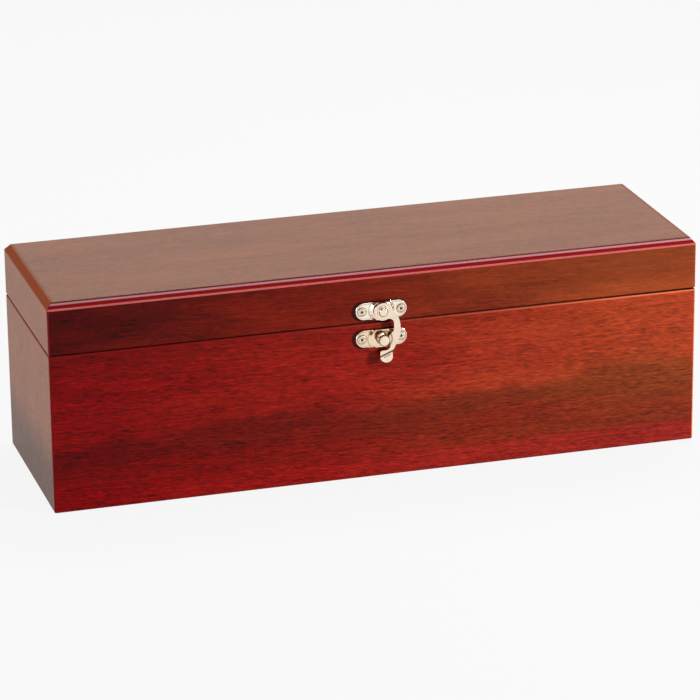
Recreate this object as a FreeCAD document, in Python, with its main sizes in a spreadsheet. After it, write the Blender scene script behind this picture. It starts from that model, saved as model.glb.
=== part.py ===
"""Hinged hardwood presentation box for one wine bottle, with a swing-hook catch.

Frame: X runs along the box, +X to the right seen from the front; Y runs from the
front (-Y) to the back (+Y); Z is up. The origin is the centre of the underside.
All lengths are millimetres and all angles are degrees.

The carcass is made the way such boxes are made: four mitred boards and two let-in
panels, bevelled and eased as a whole, and parted into a base and a lid.
"""

import FreeCAD
import Part
import math
import os
import Sketcher
from FreeCAD import Placement, Rotation, Vector

SIZES = (
    # the box as a whole
    ("length", 355.0),              # outside, along X
    ("depth", 109.0),               # outside, along Y
    ("height", 115.0),              # outside, lid closed
    ("joint_level", 86.5),          # middle of the parting line between base and lid
    ("joint_gap", 0.3),             # the rims stay this far apart when the lid is down
    ("wall", 9.0),                  # board thickness
    ("arris", 1.0),                 # easing radius of every outer edge
    ("bevel_run", 3.0),             # lid bevel, measured across the top
    ("bevel_rise", 3.4),            # lid bevel, measured down the side
    # panels let into the boards
    ("rabbet", 4.5),                # width of the step that a panel sits in
    ("bottom_panel", 5.0),          # thickness
    ("top_panel", 6.0),             # thickness
    # velvet lining
    ("lining", 2.0),                # covered card on the walls and the floor
    ("lining_setback", 3.0),        # bare wood left between a rim and the lining
    ("lid_pad", 4.0),               # padded lining under the top panel
    ("pad_round", 1.5),             # soft edge of the pad and of the rests
    # rests for a 750 ml bottle lying on its side
    ("bottle_radius", 38.0),
    ("bottle_neck_radius", 14.5),
    ("bottle_clearance", 1.5),      # between the glass and a rest
    ("rest_floor", 5.0),            # thickness of the body rest under the bottle
    ("rest_width", 28.0),           # along X
    ("body_rest_height", 31.0),     # above the floor lining
    ("neck_rest_lip", 6.0),         # how far the neck rest rises past the bottle's axis
    ("body_rest_inset", 82.5),      # from the left lining to the body rest's middle
    ("neck_rest_inset", 62.5),      # from the right lining to the neck rest's middle
    # butt hinges with stops
    ("hinge_spread", 205.0),        # between the middles of the two hinges
    ("hinge_length", 30.0),
    ("leaf", 1.2),                  # leaf thickness
    ("leaf_inset", 7.0),            # how far a leaf reaches over the rim
    ("leaf_fit", 0.1),              # play between a leaf's edge and its mortise
    ("knuckle_radius", 2.25),
    ("knuckle_middle", 10.0),       # length of the lid's knuckle
    ("knuckle_play", 0.15),         # between knuckles, and from a knuckle to the wood
    ("pin_radius", 1.0),
    ("pin_play", 0.05),             # radial, pin in knuckle
    ("stop_reach", 5.4),            # from the pin's middle to the tip of a stop
    ("stop_angle", 50.6),           # half the angle between the two stops, lid down
    ("hinge_screw_spread", 18.0),
    ("hinge_screw_radius", 1.1),    # shank
    ("hinge_screw_head", 1.9),      # head radius
    ("hinge_screw_rim", 0.1),       # edge of the head above its cone
    ("hinge_screw_length", 9.0),
    # catch: two plates, a stud and a swing hook
    ("catch_place", 0.7),           # X of the catch
    ("hook_plate_level", 93.3),     # Z of the upper plate's middle
    ("catch_plate_level", 78.0),    # Z of the lower plate's middle
    ("plate_length", 28.1),
    ("plate_height", 9.6),
    ("plate", 1.0),                 # plate thickness
    ("plate_edge", 0.3),            # easing of a plate's front edge
    ("boss_radius", 6.7),           # foot of the pressed boss under the hook's eye
    ("boss_height", 2.6),           # above the wood
    ("boss_slope", 38.0),           # flank of the boss, from the plate's normal
    ("collar_radius", 7.4),         # foot of the pressed collar round the stud
    ("collar_height", 1.9),         # above the wood
    ("collar_slope", 60.0),         # flank of the collar, from the plate's normal
    ("catch_screw_spread", 21.5),
    ("catch_screw_radius", 0.9),    # shank
    ("catch_screw_head", 2.2),      # head radius
    ("catch_screw_rise", 0.6),      # height of the head above the plate
    ("catch_screw_edge", 0.3),      # bevel round the head
    ("catch_screw_length", 8.0),
    ("pilot_play", 0.03),           # radial, screw shank in the wood
    ("hook", 1.5),                  # hook thickness
    ("hook_edge", 0.25),            # easing of the hook's front edge
    ("hook_play", 0.1),             # from the hook to the boss and to the rivet's head
    ("rivet_radius", 1.8),          # shank that the hook turns on
    ("rivet_play", 0.05),           # radial, shank in the hook's eye
    ("rivet_head", 3.2),            # head radius
    ("rivet_rim", 0.4),             # straight side of the head
    ("rivet_button", 2.3),          # radius of the raised middle of the head
    ("rivet_crown", 0.8),           # height of the middle above the rim
    ("stud_foot", 3.1),             # radius of the stud's flared foot
    ("stud_waist", 1.9),            # radius where the hook passes
    ("stud_head", 3.05),            # radius of the mushroom head
    ("stud_flare", 0.6),            # height of the cone from the waist to the head
    ("stud_head_level", 4.8),       # underside of the head's rim, above the wood
    ("stud_rim", 1.5),              # straight side of the head
    ("stud_crown", 0.4),            # bevel round the head's face
    # outline of the hook, from the rivet's middle: reach is to the right, drop is down
    ("eye_radius", 4.8),
    ("arm_lean", 35.0),             # the arm leaves the eye this far round from its right
    ("elbow_reach", 9.45),
    ("elbow_round", 12.0),
    ("knee_drop", 13.5),            # where the arm turns in towards the tab
    ("knee_round", 10.0),
    ("neck_drop", 22.5),            # where the arm runs into the tab's side
    ("neck_round", 4.0),
    ("tab_left", 1.7),              # the tab's left side, to the left of the rivet
    ("tab_right", 5.1),
    ("tab_drop", 28.5),
    ("tab_round", 3.3),
    ("lip_drop", 21.5),             # top of the lip that catches the stud
    ("lip_round", 0.6),
    ("notch_reach", 4.9),
    ("notch_round", 3.0),
    ("spur_reach", 3.2),
    ("spur_drop", 13.6),
    ("throat_reach", 5.95),
    ("throat_top", 4.1),
    ("throat_bottom", 11.0),
    ("throat_round", 2.8),
    ("tab_bend_drop", 23.4),        # where the finger tab starts to bend outwards
    ("tab_bend", 24.0),             # angle of the bend
)

SCREW_SIDES = 12                    # flats of a screw head, which stands for a round one

NODES = []


def sheet_of(doc):
    """Write the driving dimensions into a spreadsheet, one alias for each."""
    sheet = doc.addObject("Spreadsheet::Sheet", "size")
    for row, (alias, value) in enumerate(SIZES, start=1):
        sheet.set("A%d" % row, alias)
        sheet.set("B%d" % row, str(value))
        sheet.setAlias("B%d" % row, alias)
    doc.recompute()
    return sheet


def number(doc, expression):
    """Work out an expression on the sheet as a plain number."""
    return float(doc.getObject("size").evalExpression(expression))


def bind(item, **expressions):
    """Bind properties of an object to expressions."""
    for name, expression in expressions.items():
        item.setExpression(name, expression)


def place(item, x="0", y="0", z="0"):
    """Bind the position of an object to three expressions."""
    item.setExpression("Placement.Base.x", x)
    item.setExpression("Placement.Base.y", y)
    item.setExpression("Placement.Base.z", z)


def node(item, name):
    """Give a finished piece its name and keep it for export."""
    item.Label = name
    NODES.append(item)
    return item


# ---------------------------------------------------------------- sketches and features

def origin_part(body, role):
    """Find one of the body's own origin planes or axes by its role."""
    return next(part for part in body.Origin.OriginFeatures if part.Role == role)


def new_body(doc, name):
    return doc.addObject("PartDesign::Body", name)


def new_sketch(body, name, plane, lift="0"):
    """Attach a sketch to an origin plane, lifted along its normal."""
    sketch = body.newObject("Sketcher::SketchObject", name)
    sketch.AttachmentSupport = [(origin_part(body, plane), "")]
    sketch.MapMode = "FlatFace"
    sketch.setExpression("AttachmentOffset.Base.z", lift)
    return sketch


def hold(sketch, kind, geometry, point, expression):
    """Hold one coordinate of a point at an expression, measured from the sketch's origin."""
    value = number(sketch.Document, expression)
    index = sketch.addConstraint(Sketcher.Constraint(kind, -1, 1, geometry, point, value))
    name = "%s_%d_%d" % (kind.lower(), geometry, point)
    sketch.renameConstraint(index, name)
    sketch.setExpression("Constraints." + name, expression)


def outline(body, name, plane, corners, sweeps=None, lift="0"):
    """Draw one closed, fully held outline in a sketch of its own."""
    sketch = new_sketch(body, name, plane, lift)
    add_loop(sketch, corners, sweeps or {})
    return sketch


def add_loop(sketch, corners, sweeps):
    """Add a closed loop to a sketch.

    corners are pairs of expressions. A side is straight unless sweeps gives its turning
    angle in degrees: the side from corner i is then an arc that turns through sweeps[i],
    anticlockwise if the angle is positive.
    """
    doc = sketch.Document
    points = [Vector(number(doc, x), number(doc, y), 0) for x, y in corners]
    ends = []
    for i, start in enumerate(points):
        stop = points[(i + 1) % len(points)]
        if i in sweeps:
            ends.append(add_arc(sketch, corners, points, i, sweeps[i]))
        else:
            line = sketch.addGeometry(Part.LineSegment(start, stop), False)
            ends.append((line, 1, 2))
    for i, (x, y) in enumerate(corners):
        geometry, first, _ = ends[i]
        before, _, last = ends[i - 1]
        sketch.addConstraint(Sketcher.Constraint("Coincident", before, last, geometry, first))
        hold(sketch, "DistanceX", geometry, first, x)
        hold(sketch, "DistanceY", geometry, first, y)
    for i, sweep in sweeps.items():
        hold_centre(sketch, corners, points, i, sweep, ends[i][0])


def arc_centre(corners, i, sweep):
    """Give the centre of the arc from corner i as a pair of expressions.

    It lies on the chord's bisector, half the chord over the tangent of half the sweep away.
    """
    (x0, y0), (x1, y1) = corners[i], corners[(i + 1) % len(corners)]
    cotangent = "cos((%s) / 2) / sin((%s) / 2)" % (sweep, sweep)
    x = "((%s) + (%s)) / 2 - ((%s) - (%s)) / 2 * %s" % (x0, x1, y1, y0, cotangent)
    y = "((%s) + (%s)) / 2 + ((%s) - (%s)) / 2 * %s" % (y0, y1, x1, x0, cotangent)
    return x, y


def add_arc(sketch, corners, points, i, sweep):
    """Add the arc of side i and return its index with its start and end points."""
    doc = sketch.Document
    x, y = arc_centre(corners, i, sweep)
    centre = Vector(number(doc, x), number(doc, y), 0)
    turn = number(doc, sweep)
    start, stop = points[i], points[(i + 1) % len(points)]
    if turn < 0:
        start, stop = stop, start
    circle = Part.Circle(centre, Vector(0, 0, 1), start.sub(centre).Length)
    arc = Part.ArcOfCircle(circle, circle.parameter(start), circle.parameter(stop))
    index = sketch.addGeometry(arc, False)
    return (index, 1, 2) if turn > 0 else (index, 2, 1)


def hold_centre(sketch, corners, points, i, sweep, geometry):
    """Hold the arc's centre along the chord's bisector."""
    x, y = arc_centre(corners, i, sweep)
    chord = points[(i + 1) % len(points)].sub(points[i])
    if abs(chord.x) > abs(chord.y):
        hold(sketch, "DistanceY", geometry, 3, y)
    else:
        hold(sketch, "DistanceX", geometry, 3, x)


def rounded(body, name, plane, corners, rounds, lift="0"):
    """Draw straight sides between corners, some of them rounded by tangent arcs.

    Each corner stays in the sketch as a held point that its two sides aim at. rounds
    gives the radius, an expression, of the corners that are rounded.
    """
    sketch = new_sketch(body, name, plane, lift)
    doc = body.Document
    points = [Vector(number(doc, x), number(doc, y), 0) for x, y in corners]
    count = len(points)
    trims = [trim(points[i - 1], points[i], points[(i + 1) % count],
                  number(doc, rounds[i]) if i in rounds else 0.0) for i in range(count)]
    lines = [sketch.addGeometry(Part.LineSegment(trims[i][1], trims[(i + 1) % count][0]), False)
             for i in range(count)]
    for i, (x, y) in enumerate(corners):
        before, after = lines[i - 1], lines[i]
        if i not in rounds:
            sketch.addConstraint(Sketcher.Constraint("Coincident", before, 2, after, 1))
            hold(sketch, "DistanceX", after, 1, x)
            hold(sketch, "DistanceY", after, 1, y)
            continue
        corner = sketch.addGeometry(Part.Point(points[i]), True)
        hold(sketch, "DistanceX", corner, 1, x)
        hold(sketch, "DistanceY", corner, 1, y)
        sketch.addConstraint(Sketcher.Constraint("PointOnObject", corner, 1, before))
        sketch.addConstraint(Sketcher.Constraint("PointOnObject", corner, 1, after))
        arc, first, last = add_round(sketch, *trims[i])
        sketch.addConstraint(Sketcher.Constraint("Tangent", before, 2, arc, first))
        sketch.addConstraint(Sketcher.Constraint("Tangent", arc, last, after, 1))
        radius = sketch.addConstraint(Sketcher.Constraint("Radius", arc, number(doc, rounds[i])))
        sketch.renameConstraint(radius, "round_%d" % i)
        sketch.setExpression("Constraints.round_%d" % i, rounds[i])
    return sketch


def trim(before, corner, after, radius):
    """Give the two tangent points of a corner's round and its centre.

    Each tangent point is the radius over the tangent of half the corner's angle away, and
    the centre is the radius over the sine of that half angle away on the bisector.
    """
    back = before.sub(corner).normalize()
    ahead = after.sub(corner).normalize()
    half = back.getAngle(ahead) / 2
    reach = radius / math.tan(half)
    bisector = back.add(ahead).normalize()
    return (corner.add(back * reach), corner.add(ahead * reach),
            corner.add(bisector * (radius / math.sin(half))))


def add_round(sketch, first, last, centre):
    """Add the arc between two tangent points and return its index, start and end."""
    left_turn = first.sub(centre).cross(last.sub(centre)).z > 0
    start, stop = (first, last) if left_turn else (last, first)
    circle = Part.Circle(centre, Vector(0, 0, 1), start.sub(centre).Length)
    arc = Part.ArcOfCircle(circle, circle.parameter(start), circle.parameter(stop))
    index = sketch.addGeometry(arc, False)
    return (index, 1, 2) if left_turn else (index, 2, 1)


def rectangle(body, name, plane, width, breadth, lift="0"):
    """Draw a rectangle centred on the origin; width and breadth are expressions."""
    east, north = "(%s) / 2" % width, "(%s) / 2" % breadth
    west, south = "-(%s) / 2" % width, "-(%s) / 2" % breadth
    return outline(body, name, plane, ((west, south), (east, south), (east, north), (west, north)),
                   lift=lift)


def circle(body, name, plane, radius, lift="0"):
    """Draw a circle round the plane's origin."""
    sketch = new_sketch(body, name, plane, lift)
    value = number(body.Document, radius)
    index = sketch.addGeometry(Part.Circle(Vector(), Vector(0, 0, 1), value), False)
    sketch.addConstraint(Sketcher.Constraint("Coincident", index, 3, -1, 1))
    size = sketch.addConstraint(Sketcher.Constraint("Radius", index, value))
    sketch.renameConstraint(size, "radius")
    sketch.setExpression("Constraints.radius", radius)
    return sketch


def facetted_circle(body, name, x, radius, lift="0"):
    """Draw the regular polygon that stands for a small screw's circle, to keep faces few."""
    step = 360 / SCREW_SIDES
    corners = [("%s + (%s) * cos(%g)" % (x, radius, step * i), "(%s) * sin(%g)" % (radius, step * i))
               for i in range(SCREW_SIDES)]
    return outline(body, name, "XY_Plane", corners, lift=lift)


def feature(body, kind, sketch, length, side="One side", back=False, taper=None):
    """Add a Pad or a Pocket of the sketch; side is One side or Symmetric."""
    item = body.newObject("PartDesign::" + kind, sketch.Name + "_" + kind.lower())
    item.Profile = sketch
    item.SideType = side
    item.Reversed = back
    item.setExpression("Length", length)
    if taper:
        item.setExpression("TaperAngle", taper)
    body.Document.recompute()
    return item


def revolve(body, sketch):
    """Turn a half profile about the sketch's vertical axis."""
    item = body.newObject("PartDesign::Revolution", sketch.Name + "_turned")
    item.Profile = sketch
    item.ReferenceAxis = (sketch, ["V_Axis"])
    item.Angle = 360
    body.Document.recompute()
    return item


def edges(item, wanted):
    """Name the edges of a feature that pass a test."""
    return ["Edge%d" % (i + 1) for i, edge in enumerate(item.Shape.Edges) if wanted(edge)]


def fillet(body, radius, wanted=None):
    """Round the chosen edges of the body's last feature, or all of them."""
    base = body.Tip
    item = body.newObject("PartDesign::Fillet", body.Name + "_round")
    item.Base = (base, edges(base, wanted) if wanted else [""])
    item.UseAllEdges = wanted is None
    item.setExpression("Radius", radius)
    body.Document.recompute()
    return item


def ease(body, size, wanted):
    """Bevel the chosen edges of the body's last feature by an equal chamfer."""
    base = body.Tip
    item = body.newObject("PartDesign::Chamfer", body.Name + "_ease")
    item.Base = (base, edges(base, wanted))
    item.setExpression("Size", size)
    body.Document.recompute()
    return item


def all_at(edge, axis, level):
    """Tell whether an edge lies wholly at one coordinate."""
    box = edge.BoundBox
    low, high = (box.YMin, box.YMax) if axis == "y" else (box.ZMin, box.ZMax)
    return abs(low - level) < 1e-4 and abs(high - level) < 1e-4


def block(doc, name, sides, x="0", y="0", z="0"):
    """Make a Part::Box centred on x and y and standing on z; the sides are expressions."""
    item = doc.addObject("Part::Box", name)
    bind(item, Length=sides[0], Width=sides[1], Height=sides[2])
    place(item, "%s - (%s) / 2" % (x, sides[0]), "%s - (%s) / 2" % (y, sides[1]), z)
    return item


def boolean(doc, kind, name, base, tool):
    """Make a Part::Cut or a Part::Common of two objects."""
    item = doc.addObject("Part::" + kind, name)
    item.Base = base
    item.Tool = tool
    return item


def group(doc, name, items):
    """Put several solids in one compound."""
    item = doc.addObject("Part::Compound", name)
    item.Links = items
    return item


# ------------------------------------------------------------------------- the carcass

INNER_LENGTH = "(size.length - 2 * size.wall)"
INNER_DEPTH = "(size.depth - 2 * size.wall)"
BASE_RIM = "(size.joint_level - size.joint_gap / 2)"
LID_RIM = "(size.joint_level + size.joint_gap / 2)"
PANEL_LENGTH = "(%s + 2 * size.rabbet)" % INNER_LENGTH
PANEL_DEPTH = "(%s + 2 * size.rabbet)" % INNER_DEPTH


def base_carcass(doc):
    """Make the ring of the four base boards, eased outside, with the bottom rabbet."""
    body = new_body(doc, "base_carcass")
    walls = rectangle(body, "base_outside", "XY_Plane", "size.length", "size.depth")
    feature(body, "Pad", walls, BASE_RIM)
    fillet(body, "size.arris")
    hollow = rectangle(body, "base_hollow", "XY_Plane", INNER_LENGTH, INNER_DEPTH, lift=BASE_RIM)
    feature(body, "Pocket", hollow, BASE_RIM)
    rabbet = rectangle(body, "bottom_rabbet", "XY_Plane", PANEL_LENGTH, PANEL_DEPTH,
                       lift="size.bottom_panel")
    feature(body, "Pocket", rabbet, "size.bottom_panel")
    return body


def lid_carcass(doc):
    """Make the ring of the four lid rails: bevelled, eased, with the top rabbet."""
    body = new_body(doc, "lid_carcass")
    place(body, z=LID_RIM)
    rise = "(size.height - %s)" % LID_RIM
    shoulder = "(%s - size.bevel_rise)" % rise
    sides = rectangle(body, "lid_outside", "XY_Plane", "size.length", "size.depth")
    feature(body, "Pad", sides, shoulder)
    bevel = rectangle(body, "lid_bevel", "XY_Plane", "size.length", "size.depth", lift=shoulder)
    feature(body, "Pad", bevel, "size.bevel_rise",
            taper="-atan(size.bevel_run / size.bevel_rise)")
    fillet(body, "size.arris")
    hollow = rectangle(body, "lid_hollow", "XY_Plane", INNER_LENGTH, INNER_DEPTH, lift=rise)
    feature(body, "Pocket", hollow, rise)
    rabbet = rectangle(body, "top_rabbet", "XY_Plane", PANEL_LENGTH, PANEL_DEPTH, lift=rise)
    feature(body, "Pocket", rabbet, "size.top_panel")
    return body


def mitre_sectors(doc):
    """Make the four prisms that part a carcass at its 45 degree mitres."""
    half_length, half_depth = "size.length / 2", "size.depth / 2"
    ridge = "(size.length / 2 - size.depth / 2)"
    long_side = (("-" + half_length, "-" + half_depth), (half_length, "-" + half_depth),
                 (ridge, "0"), ("-" + ridge, "0"))
    short_side = (("-" + half_length, half_depth), ("-" + half_length, "-" + half_depth),
                  ("-" + ridge, "0"))
    sectors = {}
    for name, corners, turned in (("front", long_side, False), ("back", long_side, True),
                                  ("left", short_side, False), ("right", short_side, True)):
        body = new_body(doc, name + "_sector")
        if turned:
            body.Placement = Placement(Vector(), Rotation(Vector(0, 0, 1), 180))
        sketch = outline(body, name + "_mitres", "XY_Plane", corners)
        feature(body, "Pad", sketch, "size.height")
        sectors[name] = body
    return sectors


def carcass_board(doc, carcass, sector, name, cutters):
    """Take one board out of a carcass and cut the seats of its fittings."""
    board = boolean(doc, "Common", name + "_board", carcass, sector)
    if cutters:
        seats = group(doc, name + "_seats", cutters)
        board = boolean(doc, "Cut", name + "_cut", board, seats)
    return node(board, name)


def panels(doc):
    """Make the bottom and the top panel, let into their rabbets."""
    sides = (PANEL_LENGTH, PANEL_DEPTH, "size.bottom_panel")
    node(block(doc, "bottom", sides), "base_bottom_panel")
    sides = (PANEL_LENGTH, PANEL_DEPTH, "size.top_panel")
    node(block(doc, "top", sides, z="size.height - size.top_panel"), "lid_top_panel")


# -------------------------------------------------------------------------- the lining

FLOOR = "(size.bottom_panel + size.lining)"
PAD_LEVEL = "(size.height - size.top_panel - size.lid_pad)"
LINED_LENGTH = "(%s - 2 * size.lining)" % INNER_LENGTH
LINED_DEPTH = "(%s - 2 * size.lining)" % INNER_DEPTH


def wall_linings(doc, prefix, low, high):
    """Line the four walls between two levels: long strips first, short ones between them."""
    tall = "(%s - %s)" % (high, low)
    along = "(%s - size.lining) / 2" % INNER_DEPTH
    across = "(%s - size.lining) / 2" % INNER_LENGTH
    for name, sign in (("front", "-"), ("back", "")):
        strip = block(doc, prefix + name, (INNER_LENGTH, "size.lining", tall),
                      y=sign + along, z=low)
        node(strip, "%s_%s_lining" % (prefix, name))
    for name, sign in (("left", "-"), ("right", "")):
        strip = block(doc, prefix + name, ("size.lining", LINED_DEPTH, tall),
                      x=sign + across, z=low)
        node(strip, "%s_%s_lining" % (prefix, name))


def linings(doc):
    """Line the floor, the walls of the base and the lid, and pad the lid's ceiling."""
    floor = block(doc, "floor", (INNER_LENGTH, INNER_DEPTH, "size.lining"), z="size.bottom_panel")
    node(floor, "base_floor_lining")
    wall_linings(doc, "base", FLOOR, "(%s - size.lining_setback)" % BASE_RIM)
    wall_linings(doc, "lid", "(%s + size.lining_setback)" % LID_RIM,
                 "(size.height - size.top_panel)")
    body = new_body(doc, "lid_ceiling")
    place(body, z=PAD_LEVEL)
    sketch = rectangle(body, "pad_outline", "XY_Plane", LINED_LENGTH, LINED_DEPTH)
    feature(body, "Pad", sketch, "size.lid_pad")
    fillet(body, "size.pad_round", lambda edge: all_at(edge, "z", 0))
    node(body, "lid_top_pad")


# --------------------------------------------------------------------- the bottle rests

BOTTLE_AXIS = "(%s + size.rest_floor + size.bottle_clearance + size.bottle_radius)" % FLOOR


def rest(doc, name, place_x, corners, sweeps, top, horn):
    """Pad a rest's outline, seen along the box, over its width and soften its top.

    horn is the thickness of the rest's thinnest top edge, which limits the softening.
    """
    body = new_body(doc, name + "_body")
    place(body, x=place_x)
    sketch = outline(body, name + "_outline", "YZ_Plane", corners, sweeps)
    feature(body, "Pad", sketch, "size.rest_width", side="Symmetric")
    level = number(doc, top)
    fillet(body, "min(size.pad_round, %s / 3)" % horn, lambda edge: all_at(edge, "z", level))
    return node(body, name)


def bottle_rests(doc):
    """Make the cradle under the bottle's body and the fork under its neck."""
    half = "%s / 2" % LINED_DEPTH
    radius = "(size.bottle_radius + size.bottle_clearance)"
    top = "(%s + size.body_rest_height)" % FLOOR
    rise = "(%s - %s)" % (BOTTLE_AXIS, top)
    mouth = "sqrt(%s ^ 2 - %s ^ 2)" % (radius, rise)
    sweep = "2 * acos(%s / %s)" % (rise, radius)
    corners = (("-" + half, FLOOR), (half, FLOOR), (half, top), (mouth, top),
               ("-" + mouth, top), ("-" + half, top))
    rest(doc, "body_rest", "size.body_rest_inset - %s / 2" % LINED_LENGTH, corners,
         {3: "-(%s)" % sweep}, top, "(%s - %s)" % (half, mouth))

    radius = "(size.bottle_neck_radius + size.bottle_clearance)"
    top = "(%s + size.neck_rest_lip)" % BOTTLE_AXIS
    corners = (("-" + half, FLOOR), (half, FLOOR), (half, top), (radius, top),
               (radius, BOTTLE_AXIS), ("-" + radius, BOTTLE_AXIS), ("-" + radius, top),
               ("-" + half, top))
    rest(doc, "neck_rest", "%s / 2 - size.neck_rest_inset" % LINED_LENGTH, corners,
         {4: "-180"}, top, "(%s - %s)" % (half, radius))


# ---------------------------------------------------------------------------- fasteners

def screw_pair(doc, name, prefix, play, top, thick, bevel, bevelled):
    """Make two wood screws on local Z, driven down from the origin.

    prefix names the sizes that the screws take, and play widens them. The head reaches
    from top down by thick, and bevel is taken off its edge at the height bevelled.
    """
    place_x = "-size.%s_screw_spread / 2" % prefix
    body = new_body(doc, name)
    body.AllowCompound = True
    head = facetted_circle(body, name + "_head", place_x,
                           "size.%s_screw_head + %s" % (prefix, play), top)
    feature(body, "Pad", head, thick, back=True)
    level = number(doc, bevelled)
    ease(body, bevel, lambda edge: all_at(edge, "z", level))
    shank = facetted_circle(body, name + "_shank", place_x,
                            "size.%s_screw_radius + %s" % (prefix, play))
    feature(body, "Pad", shank, "size.%s_screw_length" % prefix, back=True)
    pattern = body.newObject("PartDesign::LinearPattern", name + "_pair")
    pattern.TransformMode = "Whole shape"
    pattern.Direction = (origin_part(body, "X_Axis"), [""])
    pattern.Occurrences = 2
    pattern.setExpression("Length", "size.%s_screw_spread" % prefix)
    body.Tip = pattern
    doc.recompute()
    return body


def countersunk_pair(doc, name, play):
    """Make two hinge screws, their heads' faces level with the leaf's."""
    cone = ("(size.hinge_screw_head - size.hinge_screw_radius) * cos(%g)"
            % (180 / SCREW_SIDES))
    sink = "(size.hinge_screw_head - size.hinge_screw_radius + size.hinge_screw_rim)"
    return screw_pair(doc, name, "hinge", play, "0", sink, cone, "-" + sink)


def raised_pair(doc, name, play):
    """Make two catch screws, whose heads stand on the plate."""
    rise = "size.catch_screw_rise"
    return screw_pair(doc, name, "catch", play, rise, rise, "size.catch_screw_edge", rise)


def driven_screws(doc, name, kind, turn, x, y, z):
    """Place a pair of screws, and return it with the cutter of the holes it sits in."""
    pairs = []
    for suffix, play in (("_steel", "0"), ("_holes", "size.pilot_play")):
        pair = kind(doc, name + suffix, play)
        pair.Placement = Placement(Vector(), turn)
        place(pair, x, y, z)
        pairs.append(pair)
    return pairs


# ----------------------------------------------------------------------------- the hinges

HINGE_BACK = "(size.depth / 2 + size.knuckle_radius + size.knuckle_play)"
LEAF_FACE = "size.joint_gap / 2"
SCREW_LINE = "(size.depth / 2 - size.leaf_inset / 2)"
DOWN = Rotation(Vector(1, 0, 0), 180)
UPRIGHT = Rotation()
OUTWARDS = Rotation(Vector(1, 0, 0), 90)


def hinge_leaf(doc, name, side, upper):
    """Make one leaf about the pin: plate, knuckles and the stop behind them.

    The lower leaf carries the two outer knuckles and the upper leaf the middle one. Each
    stop is a bar along the whole hinge whose face lies on a ray from the pin; with the
    lid open the two faces meet.
    """
    sign = "" if upper else "-"
    body = new_body(doc, name)
    place(body, x=side + "size.hinge_spread / 2", y=HINGE_BACK, z="size.joint_level")

    near, far = sign + LEAF_FACE, "%s(%s + size.leaf)" % (sign, LEAF_FACE)
    edge = "-(size.leaf_inset + size.knuckle_radius + size.knuckle_play)"
    plate = outline(body, name + "_plate", "YZ_Plane",
                    ((edge, near), ("0", near), ("0", far), (edge, far)))
    feature(body, "Pad", plate, "size.hinge_length", side="Symmetric")
    knuckle = circle(body, name + "_knuckle", "YZ_Plane", "size.knuckle_radius")
    feature(body, "Pad", knuckle, "size.hinge_length", side="Symmetric")

    inner = "(size.pin_radius + size.pin_play)"
    run, rise = "cos(size.stop_angle)", "%ssin(size.stop_angle)" % sign
    stop = outline(body, name + "_stop", "YZ_Plane", (
        ("%s * %s" % (inner, run), "%s * %s" % (rise, inner)),
        ("size.stop_reach * %s" % run, "%s * size.stop_reach" % rise),
        ("size.stop_reach * %s - size.leaf * sin(size.stop_angle)" % run,
         "%s * size.stop_reach + (%s(size.leaf * %s))" % (rise, sign, run)),
        ("%s * %s - size.leaf * sin(size.stop_angle)" % (inner, run),
         "%s * %s + (%s(size.leaf * %s))" % (rise, inner, sign, run))))
    feature(body, "Pad", stop, "size.hinge_length", side="Symmetric")

    swept = "(size.knuckle_radius + size.knuckle_play)"
    if upper:
        outer = "(size.hinge_length - size.knuckle_middle) / 2"
        for end, back in (("", True), ("-", False)):
            gap = circle(body, name + "_gap", "YZ_Plane", swept,
                          lift="%s(size.knuckle_middle / 2)" % end)
            feature(body, "Pocket", gap, outer, back=back)
    else:
        gap = circle(body, name + "_gap", "YZ_Plane", swept)
        feature(body, "Pocket", gap, "size.knuckle_middle + 2 * size.knuckle_play",
                side="Symmetric")
    bore = circle(body, name + "_bore", "YZ_Plane", inner)
    feature(body, "Pocket", bore, "size.hinge_length", side="Symmetric")
    return body


def hinge_pin(doc, name, side):
    """Make the pin, flush with the knuckles' ends."""
    pin = doc.addObject("Part::Cylinder", name + "_rod")
    bind(pin, Radius="size.pin_radius", Height="size.hinge_length")
    pin.Placement = Placement(Vector(), Rotation(Vector(0, 1, 0), 90))
    place(pin, side + "size.hinge_spread / 2 - size.hinge_length / 2", HINGE_BACK,
          "size.joint_level")
    return node(pin, name)


def hinges(doc):
    """Make both hinges with their screws; return the seats to cut in base and lid."""
    base_seats, lid_seats = [], []
    base_screws, lid_screws = [], []
    for hand, side in (("left", "-"), ("right", "")):
        middle = side + "size.hinge_spread / 2"
        hinge_pin(doc, "hinge_%s_pin" % hand, side)
        mortise = ("size.hinge_length + 2 * size.leaf_fit",
                   "(size.leaf_inset + size.leaf_fit + size.knuckle_radius)",
                   "size.leaf + size.joint_gap")
        line = "(size.depth / 2 + (size.knuckle_radius - size.leaf_inset - size.leaf_fit) / 2)"
        for level, screws, seats, turn, rim, floor in (
                ("lower", base_screws, base_seats, UPRIGHT, BASE_RIM, BASE_RIM + " - size.leaf"),
                ("upper", lid_screws, lid_seats, DOWN, LID_RIM, LID_RIM + " - size.joint_gap")):
            name = "hinge_%s_%s_leaf" % (hand, level)
            pair, holes = driven_screws(doc, name + "_screws", countersunk_pair, turn,
                                        middle, SCREW_LINE, rim)
            leaf = hinge_leaf(doc, name + "_body", side, upper=level == "upper")
            node(boolean(doc, "Cut", name + "_cut", leaf, holes), name)
            screws.append(pair)
            seats.extend((block(doc, name + "_mortise", mortise, middle, line, floor), holes))
    node(group(doc, "base_screw_set", base_screws), "hinge_base_screws")
    node(group(doc, "lid_screw_set", lid_screws), "hinge_lid_screws")
    return base_seats, lid_seats


# ------------------------------------------------------------------------------ the catch

FRONT = "-size.depth / 2"
HOOK_BACK = "(size.boss_height + size.hook_play)"
RIVET_SEAT = "(%s + size.hook + size.hook_play)" % HOOK_BACK


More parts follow.
